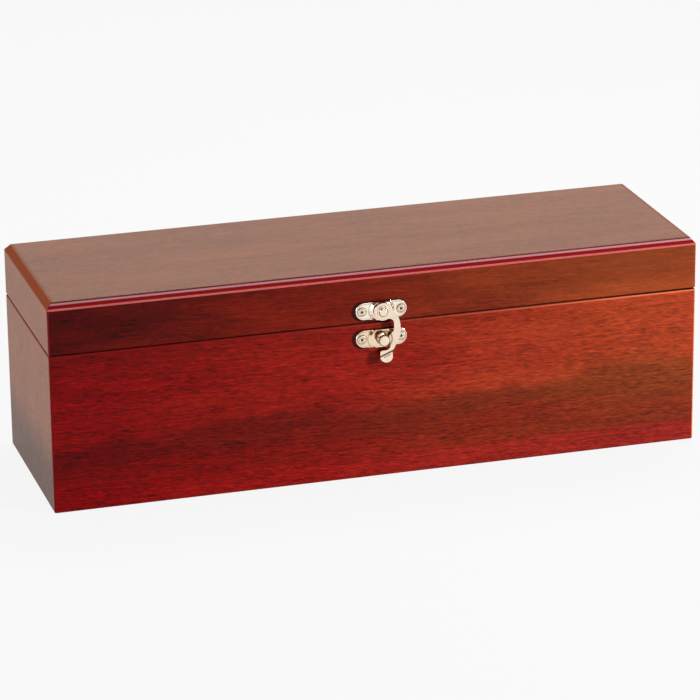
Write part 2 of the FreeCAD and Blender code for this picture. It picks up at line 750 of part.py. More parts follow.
def catch_face(doc, name, level, swell_radius, swell_height, swell_slope, hole):
    """Make one plate of the catch with its screws; return the cutter of their holes.

    The swell pressed up in its middle is wider than the plate and ends at its long sides.
    """
    body = new_body(doc, name + "_body")
    place(body, "size.catch_place", FRONT, level)
    end = "size.plate_height / 2"
    span = "(size.plate_length / 2 - %s)" % end
    corners = (("-" + span, "-" + end), (span, "-" + end), (span, end), ("-" + span, end))
    ends = {1: "180", 3: "180"}
    plate = outline(body, name + "_outline", "XZ_Plane", corners, ends)
    feature(body, "Pad", plate, "size.plate")
    face = -number(doc, "size.plate")
    ease(body, "size.plate_edge", lambda edge: all_at(edge, "y", face))
    foot = circle(body, name + "_foot", "XZ_Plane", swell_radius)
    feature(body, "Pad", foot, "size.plate")
    swell = circle(body, name + "_swell", "XZ_Plane", swell_radius, lift="size.plate")
    feature(body, "Pad", swell, "%s - size.plate" % swell_height, taper="-" + swell_slope)
    surround = rectangle(body, name + "_surround", "XZ_Plane", "2 * size.plate_length",
                         "2 * size.plate_length")
    add_loop(surround, corners, ends)
    feature(body, "Pocket", surround, "2 * %s" % swell_height, side="Symmetric")
    middle = circle(body, name + "_hole", "XZ_Plane", hole)
    feature(body, "Pocket", middle, "2 * %s" % swell_height, side="Symmetric")
    screws, holes = driven_screws(doc, name + "_screws", raised_pair, OUTWARDS,
                                  "size.catch_place", FRONT + " - size.plate", level)
    node(boolean(doc, "Cut", name + "_cut", body, holes), name)
    node(screws, name + "_screws")
    return [holes]


def turned_post(doc, name, level, corners):
    """Turn a post that stands out of the front; corners give radius and height off the wood."""
    body = new_body(doc, name + "_body")
    body.Placement = Placement(Vector(), OUTWARDS)
    place(body, "size.catch_place", FRONT, level)
    revolve(body, outline(body, name + "_profile", "XZ_Plane", corners))
    return node(body, name)


def swing_hook(doc):
    """Make the hook: a stamped outline whose finger tab is bent outwards.

    The outline is raised as a thick blank, and two cuts seen from the side leave a strip
    of the hook's thickness that follows the bend.
    """
    body = new_body(doc, "hook_body")
    place(body, "size.catch_place", FRONT, "size.hook_plate_level")
    start = ("size.eye_radius * cos(size.arm_lean)", "size.eye_radius * sin(size.arm_lean)")
    corners = (
        ("0", "0"),
        start,
        ("size.elbow_reach", "%s - (size.elbow_reach - %s) / tan(size.arm_lean)"
         % (start[1], start[0])),
        ("size.elbow_reach", "-size.knee_drop"),
        ("size.tab_right", "-size.neck_drop"),
        ("size.tab_right", "-size.tab_drop"),
        ("-size.tab_left", "-size.tab_drop"),
        ("-size.tab_left", "-size.lip_drop"),
        ("size.notch_reach", "-size.lip_drop"),
        ("size.spur_reach", "-size.spur_drop"),
        ("size.throat_reach", "-size.throat_bottom"),
        ("size.throat_reach", "-size.throat_top"),
        ("0", "-size.throat_top"))
    rounds = {2: "size.elbow_round", 3: "size.knee_round", 4: "size.neck_round",
              5: "size.tab_round", 6: "size.tab_round", 7: "size.lip_round",
              8: "size.notch_round", 10: "size.throat_round", 11: "size.throat_round"}
    bend_rise = "size.hook * tan(size.tab_bend / 2)"
    tab_end = "(size.tab_drop + size.hook)"
    blank = "(size.hook / cos(size.tab_bend) + (%s - size.tab_bend_drop) * tan(size.tab_bend))"
    raised = rounded(body, "hook_outline", "XZ_Plane", corners, rounds, lift=HOOK_BACK)
    feature(body, "Pad", raised, blank % tab_end)
    ring = circle(body, "hook_ring", "XZ_Plane", "size.eye_radius", HOOK_BACK)
    feature(body, "Pad", ring, "size.hook")

    back, face = "-" + HOOK_BACK, "-(%s + size.hook)" % HOOK_BACK
    over = "-(%s + size.hook + %s)" % (HOOK_BACK, blank % tab_end)
    lean = "(%s - size.tab_bend_drop) * tan(size.tab_bend)" % tab_end
    front_cut = outline(body, "hook_front_cut", "YZ_Plane", (
        (face, "2 * size.eye_radius"),
        (over, "2 * size.eye_radius"),
        (over, "-" + tab_end),
        ("%s - %s - %s * tan(size.tab_bend)" % (face, lean, bend_rise), "-" + tab_end),
        (face, "%s - size.tab_bend_drop" % bend_rise)))
    feature(body, "Pocket", front_cut, "4 * size.elbow_reach", side="Symmetric")
    back_cut = outline(body, "hook_back_cut", "YZ_Plane", (
        (back, "-size.tab_bend_drop"),
        ("%s - %s" % (back, lean), "-" + tab_end),
        (back, "-" + tab_end)))
    feature(body, "Pocket", back_cut, "4 * size.elbow_reach", side="Symmetric")
    ease(body, "size.hook_edge", front_rim(body.Tip.Shape))
    eye = circle(body, "hook_eye", "XZ_Plane", "size.rivet_radius + size.rivet_play", HOOK_BACK)
    feature(body, "Pocket", eye, "4 * size.hook", side="Symmetric")
    return node(body, "hook")


def front_rim(shape):
    """Give a test for the edges round the flat faces that look to the front."""
    fronts = [face for face in shape.Faces
              if face.Surface.TypeId == "Part::GeomPlane" and face.normalAt(0, 0).y < -0.85]
    bounds = [edge for face in fronts for edge in face.Edges]
    return lambda edge: sum(edge.isSame(other) for other in bounds) == 1


def catch(doc):
    """Make the catch; return the seats to cut in the base's and the lid's front boards."""
    lid_seats = catch_face(doc, "hook_plate", "size.hook_plate_level", "size.boss_radius",
                           "size.boss_height", "size.boss_slope",
                           "size.rivet_radius + size.pilot_play")
    base_seats = catch_face(doc, "catch_plate", "size.catch_plate_level", "size.collar_radius",
                            "size.collar_height", "size.collar_slope",
                            "size.stud_waist + size.pilot_play")
    rim = "(%s + size.rivet_rim)" % RIVET_SEAT
    turned_post(doc, "hook_rivet", "size.hook_plate_level", (
        ("0", "0"), ("size.rivet_radius", "0"), ("size.rivet_radius", RIVET_SEAT),
        ("size.rivet_head", RIVET_SEAT), ("size.rivet_head", rim),
        ("size.rivet_button", rim),
        ("size.rivet_button - size.rivet_crown / 2", "%s + size.rivet_crown" % rim),
        ("0", "%s + size.rivet_crown" % rim)))
    rim = "(size.stud_head_level + size.stud_rim)"
    turned_post(doc, "catch_stud", "size.catch_plate_level", (
        ("0", "0"), ("size.stud_waist", "0"), ("size.stud_waist", "size.collar_height"),
        ("size.stud_foot", "size.collar_height"), ("size.stud_waist", HOOK_BACK),
        ("size.stud_waist", "size.stud_head_level - size.stud_flare"),
        ("size.stud_head", "size.stud_head_level"), ("size.stud_head", rim),
        ("size.stud_head - size.stud_crown", "%s + size.stud_crown" % rim),
        ("0", "%s + size.stud_crown" % rim)))
    swing_hook(doc)
    return base_seats, lid_seats


# ----------------------------------------------------------------------------- the whole

def carcasses(doc, hinge_seats, catch_seats):
    """Part the base and the lid into boards, with the seats of hinges and catch cut in."""
    sectors = mitre_sectors(doc)
    for prefix, noun, carcass, behind, ahead in (
            ("base", "board", base_carcass(doc), hinge_seats[0], catch_seats[0]),
            ("lid", "rail", lid_carcass(doc), hinge_seats[1], catch_seats[1])):
        seats = {"front": ahead, "back": behind, "left": [], "right": []}
        for side, sector in sectors.items():
            name = "%s_%s_%s" % (prefix, side, noun)
            carcass_board(doc, carcass, sector, name, seats[side])


def verify(doc):
    """Stop if any object failed or any piece is empty or not a valid solid."""
    doc.recompute()
    for item in doc.Objects:
        if "Invalid" in item.State or "Error" in item.State:
            raise RuntimeError("%s did not recompute" % item.Label)
    for item in NODES:
        shape = item.Shape
        if shape.isNull() or not shape.isValid() or not shape.Solids:
            raise RuntimeError("%s is not a valid solid" % item.Label)


def export():
    """Write each piece to a file that has its name."""
    os.makedirs("parts", exist_ok=True)
    for item in NODES:
        item.Shape.exportStep("parts/%s.step" % item.Label)
        print("%-24s %d solid(s)  %.1f mm3" % (item.Label, len(item.Shape.Solids),
                                               item.Shape.Volume))


def main():
    doc = FreeCAD.newDocument("presentation_box")
    sheet_of(doc)
    hinge_seats = hinges(doc)
    catch_seats = catch(doc)
    carcasses(doc, hinge_seats, catch_seats)
    panels(doc)
    linings(doc)
    bottle_rests(doc)
    verify(doc)
    export()


main()
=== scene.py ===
"""Looks of a hinged hardwood presentation box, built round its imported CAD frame.

Lengths are metres in the frame of the CAD part: X runs along the box, Y from the front to
the back, Z is up, and the origin is under the middle of the box.
"""

import logging
import math
from dataclasses import dataclass
from enum import Enum
from typing import Any

import bmesh
import bpy
import numpy as np
from mathutils import Matrix, Vector


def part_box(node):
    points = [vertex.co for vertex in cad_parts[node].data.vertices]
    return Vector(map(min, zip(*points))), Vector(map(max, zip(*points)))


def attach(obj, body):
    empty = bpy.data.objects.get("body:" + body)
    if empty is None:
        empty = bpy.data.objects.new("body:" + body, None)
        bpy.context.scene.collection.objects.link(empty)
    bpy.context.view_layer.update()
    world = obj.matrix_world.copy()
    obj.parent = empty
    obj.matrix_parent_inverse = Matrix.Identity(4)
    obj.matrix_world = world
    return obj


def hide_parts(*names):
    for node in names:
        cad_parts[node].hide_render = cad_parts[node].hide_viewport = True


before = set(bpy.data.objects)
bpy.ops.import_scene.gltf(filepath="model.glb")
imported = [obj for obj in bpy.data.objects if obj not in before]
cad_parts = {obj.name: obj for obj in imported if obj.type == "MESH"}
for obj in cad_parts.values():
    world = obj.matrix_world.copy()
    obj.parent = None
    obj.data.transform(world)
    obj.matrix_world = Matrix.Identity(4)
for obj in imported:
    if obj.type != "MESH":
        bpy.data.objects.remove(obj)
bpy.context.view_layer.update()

LOG = logging.getLogger("presentation_box")
MM = 0.001
Colour = tuple[float, float, float]
Stops = tuple[tuple[float, Colour], ...]
WHITE: Colour = (1.0, 1.0, 1.0)


def corners_of(node: str) -> np.ndarray:
    """Give the lowest and the highest corner of a CAD node as rows, to the micrometre."""
    return np.round(np.array(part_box(node)), 6)


# Places that several pieces share, read from the frame.
HALF_LENGTH = float(corners_of("base_right_board")[1, 0])
HALF_DEPTH = float(corners_of("base_back_board")[1, 1])
BASE_TOP = float(corners_of("base_front_board")[1, 2])
LID_FOOT, LID_TOP = corners_of("lid_front_rail")[:, 2].tolist()
CATCH_X, _, HOOK_LEVEL = corners_of("hook_plate").mean(axis=0).tolist()
STUD_LEVEL = float(corners_of("catch_plate").mean(axis=0)[2])


class Body(Enum):
    """The bodies that the joints move."""

    BASE = "base"
    LID = "lid"
    HOOK = "hook"


class Grain(Enum):
    """The axis that a board's grain runs along."""

    ALONG = 0
    UPRIGHT = 2

    def stretch(self, ratio: float) -> tuple[float, float, float]:
        """Give the scale that draws a pattern out along the grain."""
        return tuple(1.0 if axis == self.value else ratio for axis in range(3))


class Slot(Enum):
    """The record's material slots, one for each kind of new piece."""

    CATCH = "catch_brass"
    CATCH_SCREWS = "catch_screws"
    HINGE = "hinge_brass"
    PAD = "pad_velvet"
    REST = "rest_velvet"


# --------------------------------------------------------------------------- shader maths

class Wire:
    """A socket whose Python operators add Math nodes."""

    def __init__(self, socket: bpy.types.NodeSocket) -> None:
        """Wrap an output socket."""
        self.socket = socket

    def math(self, operation: str, first: "Wire | float", second: "Wire | float") -> "Wire":
        """Add a Math node.

        Args:
            operation: the node's operation.
            first: its first value.
            second: its second value.

        Returns:
            The node's result.
        """
        return Graph(self.socket.id_data).node(
            "ShaderNodeMath", {"operation": operation}, {"Value": first, "Value_001": second})

    def __add__(self, other: "Wire | float") -> "Wire":
        """Add."""
        return self.math("ADD", self, other)

    def __radd__(self, other: float) -> "Wire":
        """Add to a number."""
        return self.math("ADD", other, self)

    def __sub__(self, other: "Wire | float") -> "Wire":
        """Subtract."""
        return self.math("SUBTRACT", self, other)

    def __rsub__(self, other: float) -> "Wire":
        """Subtract from a number."""
        return self.math("SUBTRACT", other, self)

    def __mul__(self, other: "Wire | float") -> "Wire":
        """Multiply."""
        return self.math("MULTIPLY", self, other)

    def __rmul__(self, other: float) -> "Wire":
        """Multiply a number."""
        return self.math("MULTIPLY", other, self)

    def __truediv__(self, other: "Wire | float") -> "Wire":
        """Divide."""
        return self.math("DIVIDE", self, other)

    def __rtruediv__(self, other: float) -> "Wire":
        """Divide a number."""
        return self.math("DIVIDE", other, self)

    def lowest(self, other: "Wire | float") -> "Wire":
        """Take the lower of two values."""
        return self.math("MINIMUM", self, other)

    def highest(self, other: "Wire | float") -> "Wire":
        """Take the higher of two values."""
        return self.math("MAXIMUM", self, other)

    def absolute(self) -> "Wire":
        """Drop the sign."""
        return self.math("ABSOLUTE", self, 0.0)

    def root(self) -> "Wire":
        """Take the square root."""
        return self.math("SQRT", self, 0.0)


class Graph:
    """The node tree of a material or of the world."""

    def __init__(self, tree: bpy.types.NodeTree) -> None:
        """Wrap a node tree."""
        self.tree = tree

    @classmethod
    def emptied(cls, owner: bpy.types.Material | bpy.types.World) -> "Graph":
        """Let a material or a world use nodes, and start without any.

        Args:
            owner: the material or the world.

        Returns:
            Its graph.
        """
        owner.use_nodes = True
        owner.node_tree.nodes.clear()
        return cls(owner.node_tree)

    def node(self, kind: str, settings: dict[str, Any] | None = None,
             inputs: dict[str, Any] | None = None, output: str | int = 0) -> Wire | None:
        """Add any node.

        Args:
            kind: the node's type.
            settings: properties, set first; "stops" gives a ramp's places and colours.
            inputs: values or wires of its sockets, by identifier or name.
            output: which output to return.

        Returns:
            The chosen output, or None if the node has none.
        """
        node = self.tree.nodes.new(kind)
        for key, value in (settings or {}).items():
            if key == "stops":
                self.set_stops(node.color_ramp, value)
            else:
                setattr(node, key, value)
        for key, value in (inputs or {}).items():
            socket = next(s for s in node.inputs if key in (s.identifier, s.name))
            if isinstance(value, Wire):
                self.tree.links.new(value.socket, socket)
            elif socket.type == "RGBA":
                socket.default_value = (*value, 1.0)
            else:
                socket.default_value = value
        if not node.outputs:
            return None
        outputs = {s.identifier: s for s in node.outputs} | {s.name: s for s in node.outputs}
        return Wire(outputs[output] if isinstance(output, str) else node.outputs[output])

    @staticmethod
    def set_stops(ramp: bpy.types.ColorRamp, stops: Stops) -> None:
        """Give a colour ramp its stops.

        Args:
            ramp: the ramp, which starts with two stops.
            stops: two or more places from 0 to 1, in order, with their colours.
        """
        while len(ramp.elements) < len(stops):
            ramp.elements.new(0.5)
        for element, (place, colour) in zip(ramp.elements, stops):
            element.position = place
            element.color = (*colour, 1.0)

    def place(self) -> Wire:
        """Give the Object coordinates."""
        return self.node("ShaderNodeTexCoord", output="Object")

    def axes(self, vector: Wire) -> tuple[Wire, Wire, Wire]:
        """Split a vector into its three parts."""
        parts = self.node("ShaderNodeSeparateXYZ", inputs={"Vector": vector})
        return tuple(Wire(socket) for socket in parts.socket.node.outputs)

    def join(self, x: Wire | float, y: Wire | float, z: Wire | float) -> Wire:
        """Make a vector of three parts."""
        return self.node("ShaderNodeCombineXYZ", inputs={"X": x, "Y": y, "Z": z})

    def mapped(self, vector: Wire, scale: tuple[float, float, float],
               turn: tuple[float, float, float] = (0.0, 0.0, 0.0)) -> Wire:
        """Scale and turn a vector."""
        return self.node("ShaderNodeMapping", None,
                         {"Vector": vector, "Scale": scale, "Rotation": turn})

    def noise(self, vector: Wire, scale: float, detail: float = 2.0,
              roughness: float = 0.5) -> Wire:
        """Give fractal noise.

        Args:
            vector: the place that it is read at.
            scale: cells in a metre.
            detail: octaves.
            roughness: weight of each finer octave.

        Returns:
            A value about 0.5.
        """
        return self.node("ShaderNodeTexNoise", None, {
            "Vector": vector, "Scale": scale, "Detail": detail, "Roughness": roughness})

    def step(self, value: Wire, low: float, high: float, bottom: float = 0.0,
             top: float = 1.0) -> Wire:
        """Map a value smoothly from low..high to bottom..top."""
        return self.node("ShaderNodeMapRange", {"interpolation_type": "SMOOTHSTEP"}, {
            "Value": value, "From Min": low, "From Max": high, "To Min": bottom, "To Max": top})

    def blend(self, factor: Wire | float, first: Wire | Colour, second: Wire | Colour) -> Wire:
        """Mix two colours."""
        return self.node("ShaderNodeMix", {"data_type": "RGBA"}, {
            "Factor_Float": factor, "A_Color": first, "B_Color": second}, "Result_Color")

    def scaled(self, colour: Wire | Colour, factor: Wire) -> Wire:
        """Scale a colour."""
        return self.node("ShaderNodeVectorMath", {"operation": "SCALE"},
                         {"Vector": colour, "Scale": factor})

    def ramp(self, value: Wire, stops: Stops) -> Wire:
        """Read a colour from a ramp, whose stops are places from 0 to 1 and colours."""
        return self.node("ShaderNodeValToRGB", {"stops": stops}, {"Fac": value})

    def bump(self, height: Wire, distance: float, strength: float = 1.0) -> Wire:
        """Turn a height into a normal."""
        return self.node("ShaderNodeBump", None, {
            "Height": height, "Distance": distance, "Strength": strength})


@dataclass(frozen=True)
class Finish:
    """A surface finish, which becomes one material."""

    name: str

    def material(self) -> bpy.types.Material:
        """Make the material, or find it if it was made before.

        Returns:
            The material.
        """
        made = bpy.data.materials.get(self.name)
        if made is None:
            made = bpy.data.materials.new(self.name)
            graph = Graph.emptied(made)
            shader = graph.node("ShaderNodeBsdfPrincipled", None, self.sockets(graph))
            graph.node("ShaderNodeOutputMaterial", None, {"Surface": shader})
        return made

    def sockets(self, graph: Graph) -> dict[str, Any]:
        """Give the values and wires of the Principled shader's sockets."""
        raise NotImplementedError


@dataclass(frozen=True)
class Streaks:
    """Noise drawn out along the grain.

    ratio is its length over its width, scale its cells in a metre along the grain, detail
    its octaves, roughness the weight of each finer one, and weight its share of the tone.
    """

    ratio: float
    scale: float
    detail: float = 2.0
    roughness: float = 0.5
    weight: float = 1.0

    def noise(self, graph: Graph, place: Wire, grain: Grain) -> Wire:
        """Give the noise, about 0."""
        drawn = graph.mapped(place, grain.stretch(self.ratio))
        return graph.noise(drawn, self.scale, self.detail, self.roughness) - 0.5


@dataclass(frozen=True)
class Figure:
    """The grain of a board: how its streaks run and how strongly they show.

    lean is in degrees, and contrast, bands and pores weigh all streaks, the soft bands and
    the pores. sway is how far the wave moves the streaks along each axis, pit_edge the step
    from no pore to a pore in the pitted noise, and darkest the least tone.
    """

    grain: Grain = Grain.ALONG
    lean: float = -2.0
    contrast: float = 1.0
    bands: float = 0.45
    pores: float = 1.0
    sway: tuple[float, float, float] = (3.0 * MM, 3.0 * MM, 5.0 * MM)
    wave: Streaks = Streaks(2.5, 20.0)
    soft: Streaks = Streaks(5.0, 13.0)
    streaks: tuple[Streaks, ...] = (
        Streaks(28.0, 28.0, 4.0, 0.75, 1.9),
        Streaks(14.0, 80.0, 2.0, 0.7, 1.5),
        Streaks(8.5, 245.0, 1.0, 0.5, 2.4))
    pitted: Streaks = Streaks(28.0, 58.0, weight=0.16)
    pit_edge: tuple[float, float] = (0.07, 0.16)
    darkest: float = 0.25

    def wires(self, graph: Graph, place: Wire) -> tuple[Wire, Wire, Wire]:
        """Make the streaks.

        A low noise moves the place sideways, so that the streaks wave, and the place is
        turned a little about Y, so that they lean. Noises that are long along the grain
        then make soft bands, streaks about 1 mm apart, shorter ones and fine flecks, which
        add to a tone of 1 by their weights, and pores, which darken it.

        Args:
            graph: the material's nodes.
            place: Object coordinates.

        Returns:
            The tone, about 1, the bands, about 0, and the pores, 0 or 1.
        """
        wave = self.wave.noise(graph, place, self.grain)
        swayed = graph.join(*(axis + wave * sway
                              for axis, sway in zip(graph.axes(place), self.sway)))
        leaning = graph.mapped(swayed, (1.0, 1.0, 1.0), (0.0, math.radians(self.lean), 0.0))
        bands = self.soft.noise(graph, leaning, self.grain)
        pores = graph.step(self.pitted.noise(graph, leaning, self.grain), *self.pit_edge)
        pores = pores * self.pores
        tone = 1.0 + bands * (self.bands * self.contrast)
        for streaks in self.streaks:
            noise = streaks.noise(graph, leaning, self.grain)
            tone = tone + noise * (streaks.weight * self.contrast)
        tone = tone - pores * (self.pitted.weight * self.contrast)
        return tone.highest(self.darkest), bands, pores


@dataclass(frozen=True)
class Ring:
    """A line round a point of the front, drawn out to both sides by a span along a slope.

    A radius of 0 makes it a plain stroke.
    """

    x: float
    z: float
    radius: float
    width: float
    span: float = 0.0
    weight: float = 1.0
    slope: float = 0.0

    def mask(self, graph: Graph, x: Wire, z: Wire) -> Wire:
        """Find the line, where the distance from the span is close to the radius.

        Args:
            graph: the material's nodes.
            x: X of the place.
            z: Z of the place.

        Returns:
            The ring's weight on the line, falling to 0 on both sides of it.
        """
        across = ((x - self.x).absolute() - self.span).highest(0.0)
        up = z - self.z - (x - self.x) * self.slope
        off = ((across * across + up * up).root() - self.radius).absolute()
        return graph.step(off, 0.3 * self.width, 0.7 * self.width, self.weight, 0.0)


@dataclass(frozen=True)
class Solid:
    """The outside of the base or of the lid, which the veneer's edges are measured from.

    arris and rim are the widths of the eased upright edges and of the eased upper ones, which
    take a painted highlight, and lips is where the painted shade line at the joint ends, from
    its middle.
    """

    low: float
    high: float
    arris: float = 0.9 * MM
    rim: float = 0.9 * MM
    lips: tuple[float, float] = (0.45 * MM, 0.60 * MM)

    def past(self, graph: Graph, place: Wire, run: float, rise: float) -> tuple[Wire, Wire, Wire]:
        """Give how far a point lies past a box that is smaller than the solid.

        Args:
            graph: the material's nodes.
            place: Object coordinates.
            run: how far the box is inset at its sides.
            rise: how far it is inset at its top.

        Returns:
            The distances past its ends, its front and back, and its top.
        """
        x, y, z = graph.axes(place)
        return (x.absolute() - (HALF_LENGTH - run), y.absolute() - (HALF_DEPTH - run),
                z - (self.high - rise))

    def edges(self, graph: Graph, place: Wire) -> Wire:
        """Find the upright and the upper edges, past at least two of the three distances.

        Args:
            graph: the material's nodes.
            place: Object coordinates.

        Returns:
            1 on the edges and 0 elsewhere.
        """
        x, y, z = self.past(graph, place, self.arris, self.rim)
        second = x.lowest(y).highest(x.highest(y).lowest(z))
        return graph.step(second, 0.0, 0.2 * self.arris)

    def seam(self, graph: Graph, place: Wire) -> Wire:
        """Find the lips of the joint between base and lid, which take painted shade."""
        off = (graph.axes(place)[2] - (BASE_TOP + LID_FOOT) / 2).absolute()
        return graph.step(off, *self.lips, 0.8, 0.0)


@dataclass(frozen=True)
class Veneer(Finish):
    """Red-brown veneer under satin lacquer, crimson on the left and sienna on the right.

    The change drifts from left over middle to right within the span, and wander is how far
    the grain's bands push it along X; it is partly the veneer's stained colour and partly
    painted shade, darker on the left where less light falls. Pairs named for a place, such
    as foot, head, joint and calm, hold a share at the left and one at the right: of
    darkening towards the foot and the head, of the painted shade line at the joint, and of
    the grain's contrast. Reaches are heights above the solid's low side. edges are the
    colours of the eased edges, a painted highlight that is pale on the right, and lip that
    of the painted shade at the joint and of the painted shadows on the wood round the catch.
    """

    solid: Solid = Solid(0.0, BASE_TOP)
    figure: Figure = Figure(contrast=0.88)
    left: Colour = (0.168, 0.0006, 0.0010)
    middle: Colour = (0.236, 0.0083, 0.0038)
    right: Colour = (0.304, 0.0368, 0.0103)
    span: tuple[float, float] = (-165.0 * MM, 135.0 * MM)
    wander: float = 100.0 * MM
    edges: tuple[Colour, Colour] = ((0.205, 0.0060, 0.0050), (0.430, 0.0780, 0.0250))
    # lip: colour of the painted shade at the joint and of the painted shadows round the catch
    lip: Colour = (0.020, 0.0030, 0.0030)
    joint: tuple[float, float] = (0.25, 1.1)
    painted_shadows: tuple[Ring, ...] = ()
    painted_shadow_depth: tuple[float, float] = (-50.0 * MM, -40.0 * MM)
    heart_level: float = 0.0
    heart_rise: float = 0.035
    heart_width: float = 9.0 * MM
    heart_sway: float = 30.0 * MM
    heart: Colour = (0.66, 0.92, 0.75)
    foot: tuple[float, float] = (0.0, 0.0)
    foot_reach: tuple[float, float] = (16.0 * MM, 46.0 * MM)
    head: tuple[float, float] = (0.0, 0.0)
    head_reach: tuple[float, float] = (68.0 * MM, 84.0 * MM)
    blush: float = 0.0
    blush_reach: tuple[float, float] = (8.0 * MM, 15.0 * MM)
    blushes: tuple[Colour, Colour] = ((1.12, 1.10, 1.40), (1.50, 0.72, 1.70))
    calm: tuple[float, float] = (1.06, 0.80)
    index: float = 1.185
    roughness: float = 0.26
    relief: float = 0.02 * MM

    def sockets(self, graph: Graph) -> dict[str, Any]:
        """Colour along X, partly painted shade, times the grain, with painted edge highlights.

        Args:
            graph: the material's nodes.

        Returns:
            The values and wires of the shader's sockets.
        """
        place = graph.place()
        tone, bands, pores = self.figure.wires(graph, place)
        shine = graph.step(tone, 0.5, 1.5, self.roughness + 0.03, self.roughness - 0.03)
        return {
            "Base Color": self.edged(graph, place, self.hearted(graph, place, tone, bands)),
            "Roughness": shine,
            "IOR": self.index,
            "Normal": graph.bump(tone * 0.4 - pores, self.relief, 0.3),
        }

    def drift(self, graph: Graph, place: Wire, bands: Wire | float = 0.0) -> Wire:
        """Give how far the colour has drifted, from 0 at the left to 1 at the right."""
        first, last = self.span
        return (graph.axes(place)[0] + bands * self.wander - first) / (last - first)

    def hearted(self, graph: Graph, place: Wire, tone: Wire, bands: Wire) -> Wire:
        """Colour the grain, partly with painted shade, and darken a broad wavy band of
        heartwood that rises along X.

        Towards the board's foot and its head the colour darkens by a share that changes from
        left to right, and a blush of crimson runs along the foot. So does the contrast of
        the grain.

        Args:
            graph: the material's nodes.
            place: Object coordinates.
            tone: of the grain, about 1.
            bands: of the grain, about 0.

        Returns:
            The colour.
        """
        # crimson on the left to sienna on the right: partly the veneer's stained colour, partly
        # painted shade, darker on the left
        colouring = graph.ramp(self.drift(graph, place, bands), (
            (0.0, self.left), (0.5, self.middle), (1.0, self.right)))
        x, _, z = graph.axes(place)
        up = z - self.solid.low
        across = self.drift(graph, place).highest(0.0).lowest(1.0)
        foot = graph.step(up, *self.foot_reach, 1.0, 0.0) * self.between(across, self.foot)
        head = graph.step(up, *self.head_reach) * self.between(across, self.head)
        blush = graph.step(up, *self.blush_reach, self.blush, 0.0)
        calm = 1.0 + (tone - 1.0) * self.between(across, self.calm)
        colour = self.tinted(graph, graph.scaled(colouring, calm * (1.0 - foot - head)), blush,
                             graph.blend(across, *self.blushes))
        if not self.heart_level:
            return colour
        off = (z - x * self.heart_rise + bands * self.heart_sway - self.heart_level).absolute()
        inside = graph.step(off, 0.35 * self.heart_width, 1.7 * self.heart_width, 1.0, 0.0)
        return self.tinted(graph, colour, inside, self.heart)

    @staticmethod
    def between(across: Wire, shares: tuple[float, float]) -> Wire:
        """Run from the first share, at 0, to the second, at 1."""
        return across * (shares[1] - shares[0]) + shares[0]

    @staticmethod
    def tinted(graph: Graph, colour: Wire, weight: Wire, tint: Wire | Colour) -> Wire:
        """Multiply a colour by a tint, as far as the weight says."""
        return graph.node("ShaderNodeVectorMath", {"operation": "MULTIPLY"}, {
            "Vector": colour, "Vector_001": graph.blend(weight, WHITE, tint)})

    def edged(self, graph: Graph, place: Wire, colour: Wire) -> Wire:
        """Paint highlights on the eased edges, shade at the joint and shadows round the catch.

        Args:
            graph: the material's nodes.
            place: Object coordinates.
            colour: of the flat faces.

        Returns:
            The colour with its edges.
        """
        drift = self.drift(graph, place)
        # painted highlight on the eased edges, pale towards the right where the lamp's reflection
        # falls
        edge_highlight = graph.blend(drift * drift * drift, *self.edges)
        eased = graph.blend(self.solid.edges(graph, place), colour, edge_highlight)
        x, y, z = graph.axes(place)
        # painted shade along the joint between base and lid, stronger to the right
        dark = self.solid.seam(graph, place) * self.between(drift.highest(0.0), self.joint)
        # painted shadows on the wood to the left of the catch plates
        for colouring in self.painted_shadows:
            before = graph.step(y, *self.painted_shadow_depth, 1.0, 0.0)
            dark = dark.highest(colouring.mask(graph, x, z) * before)
        return graph.blend(dark, eased, self.lip)


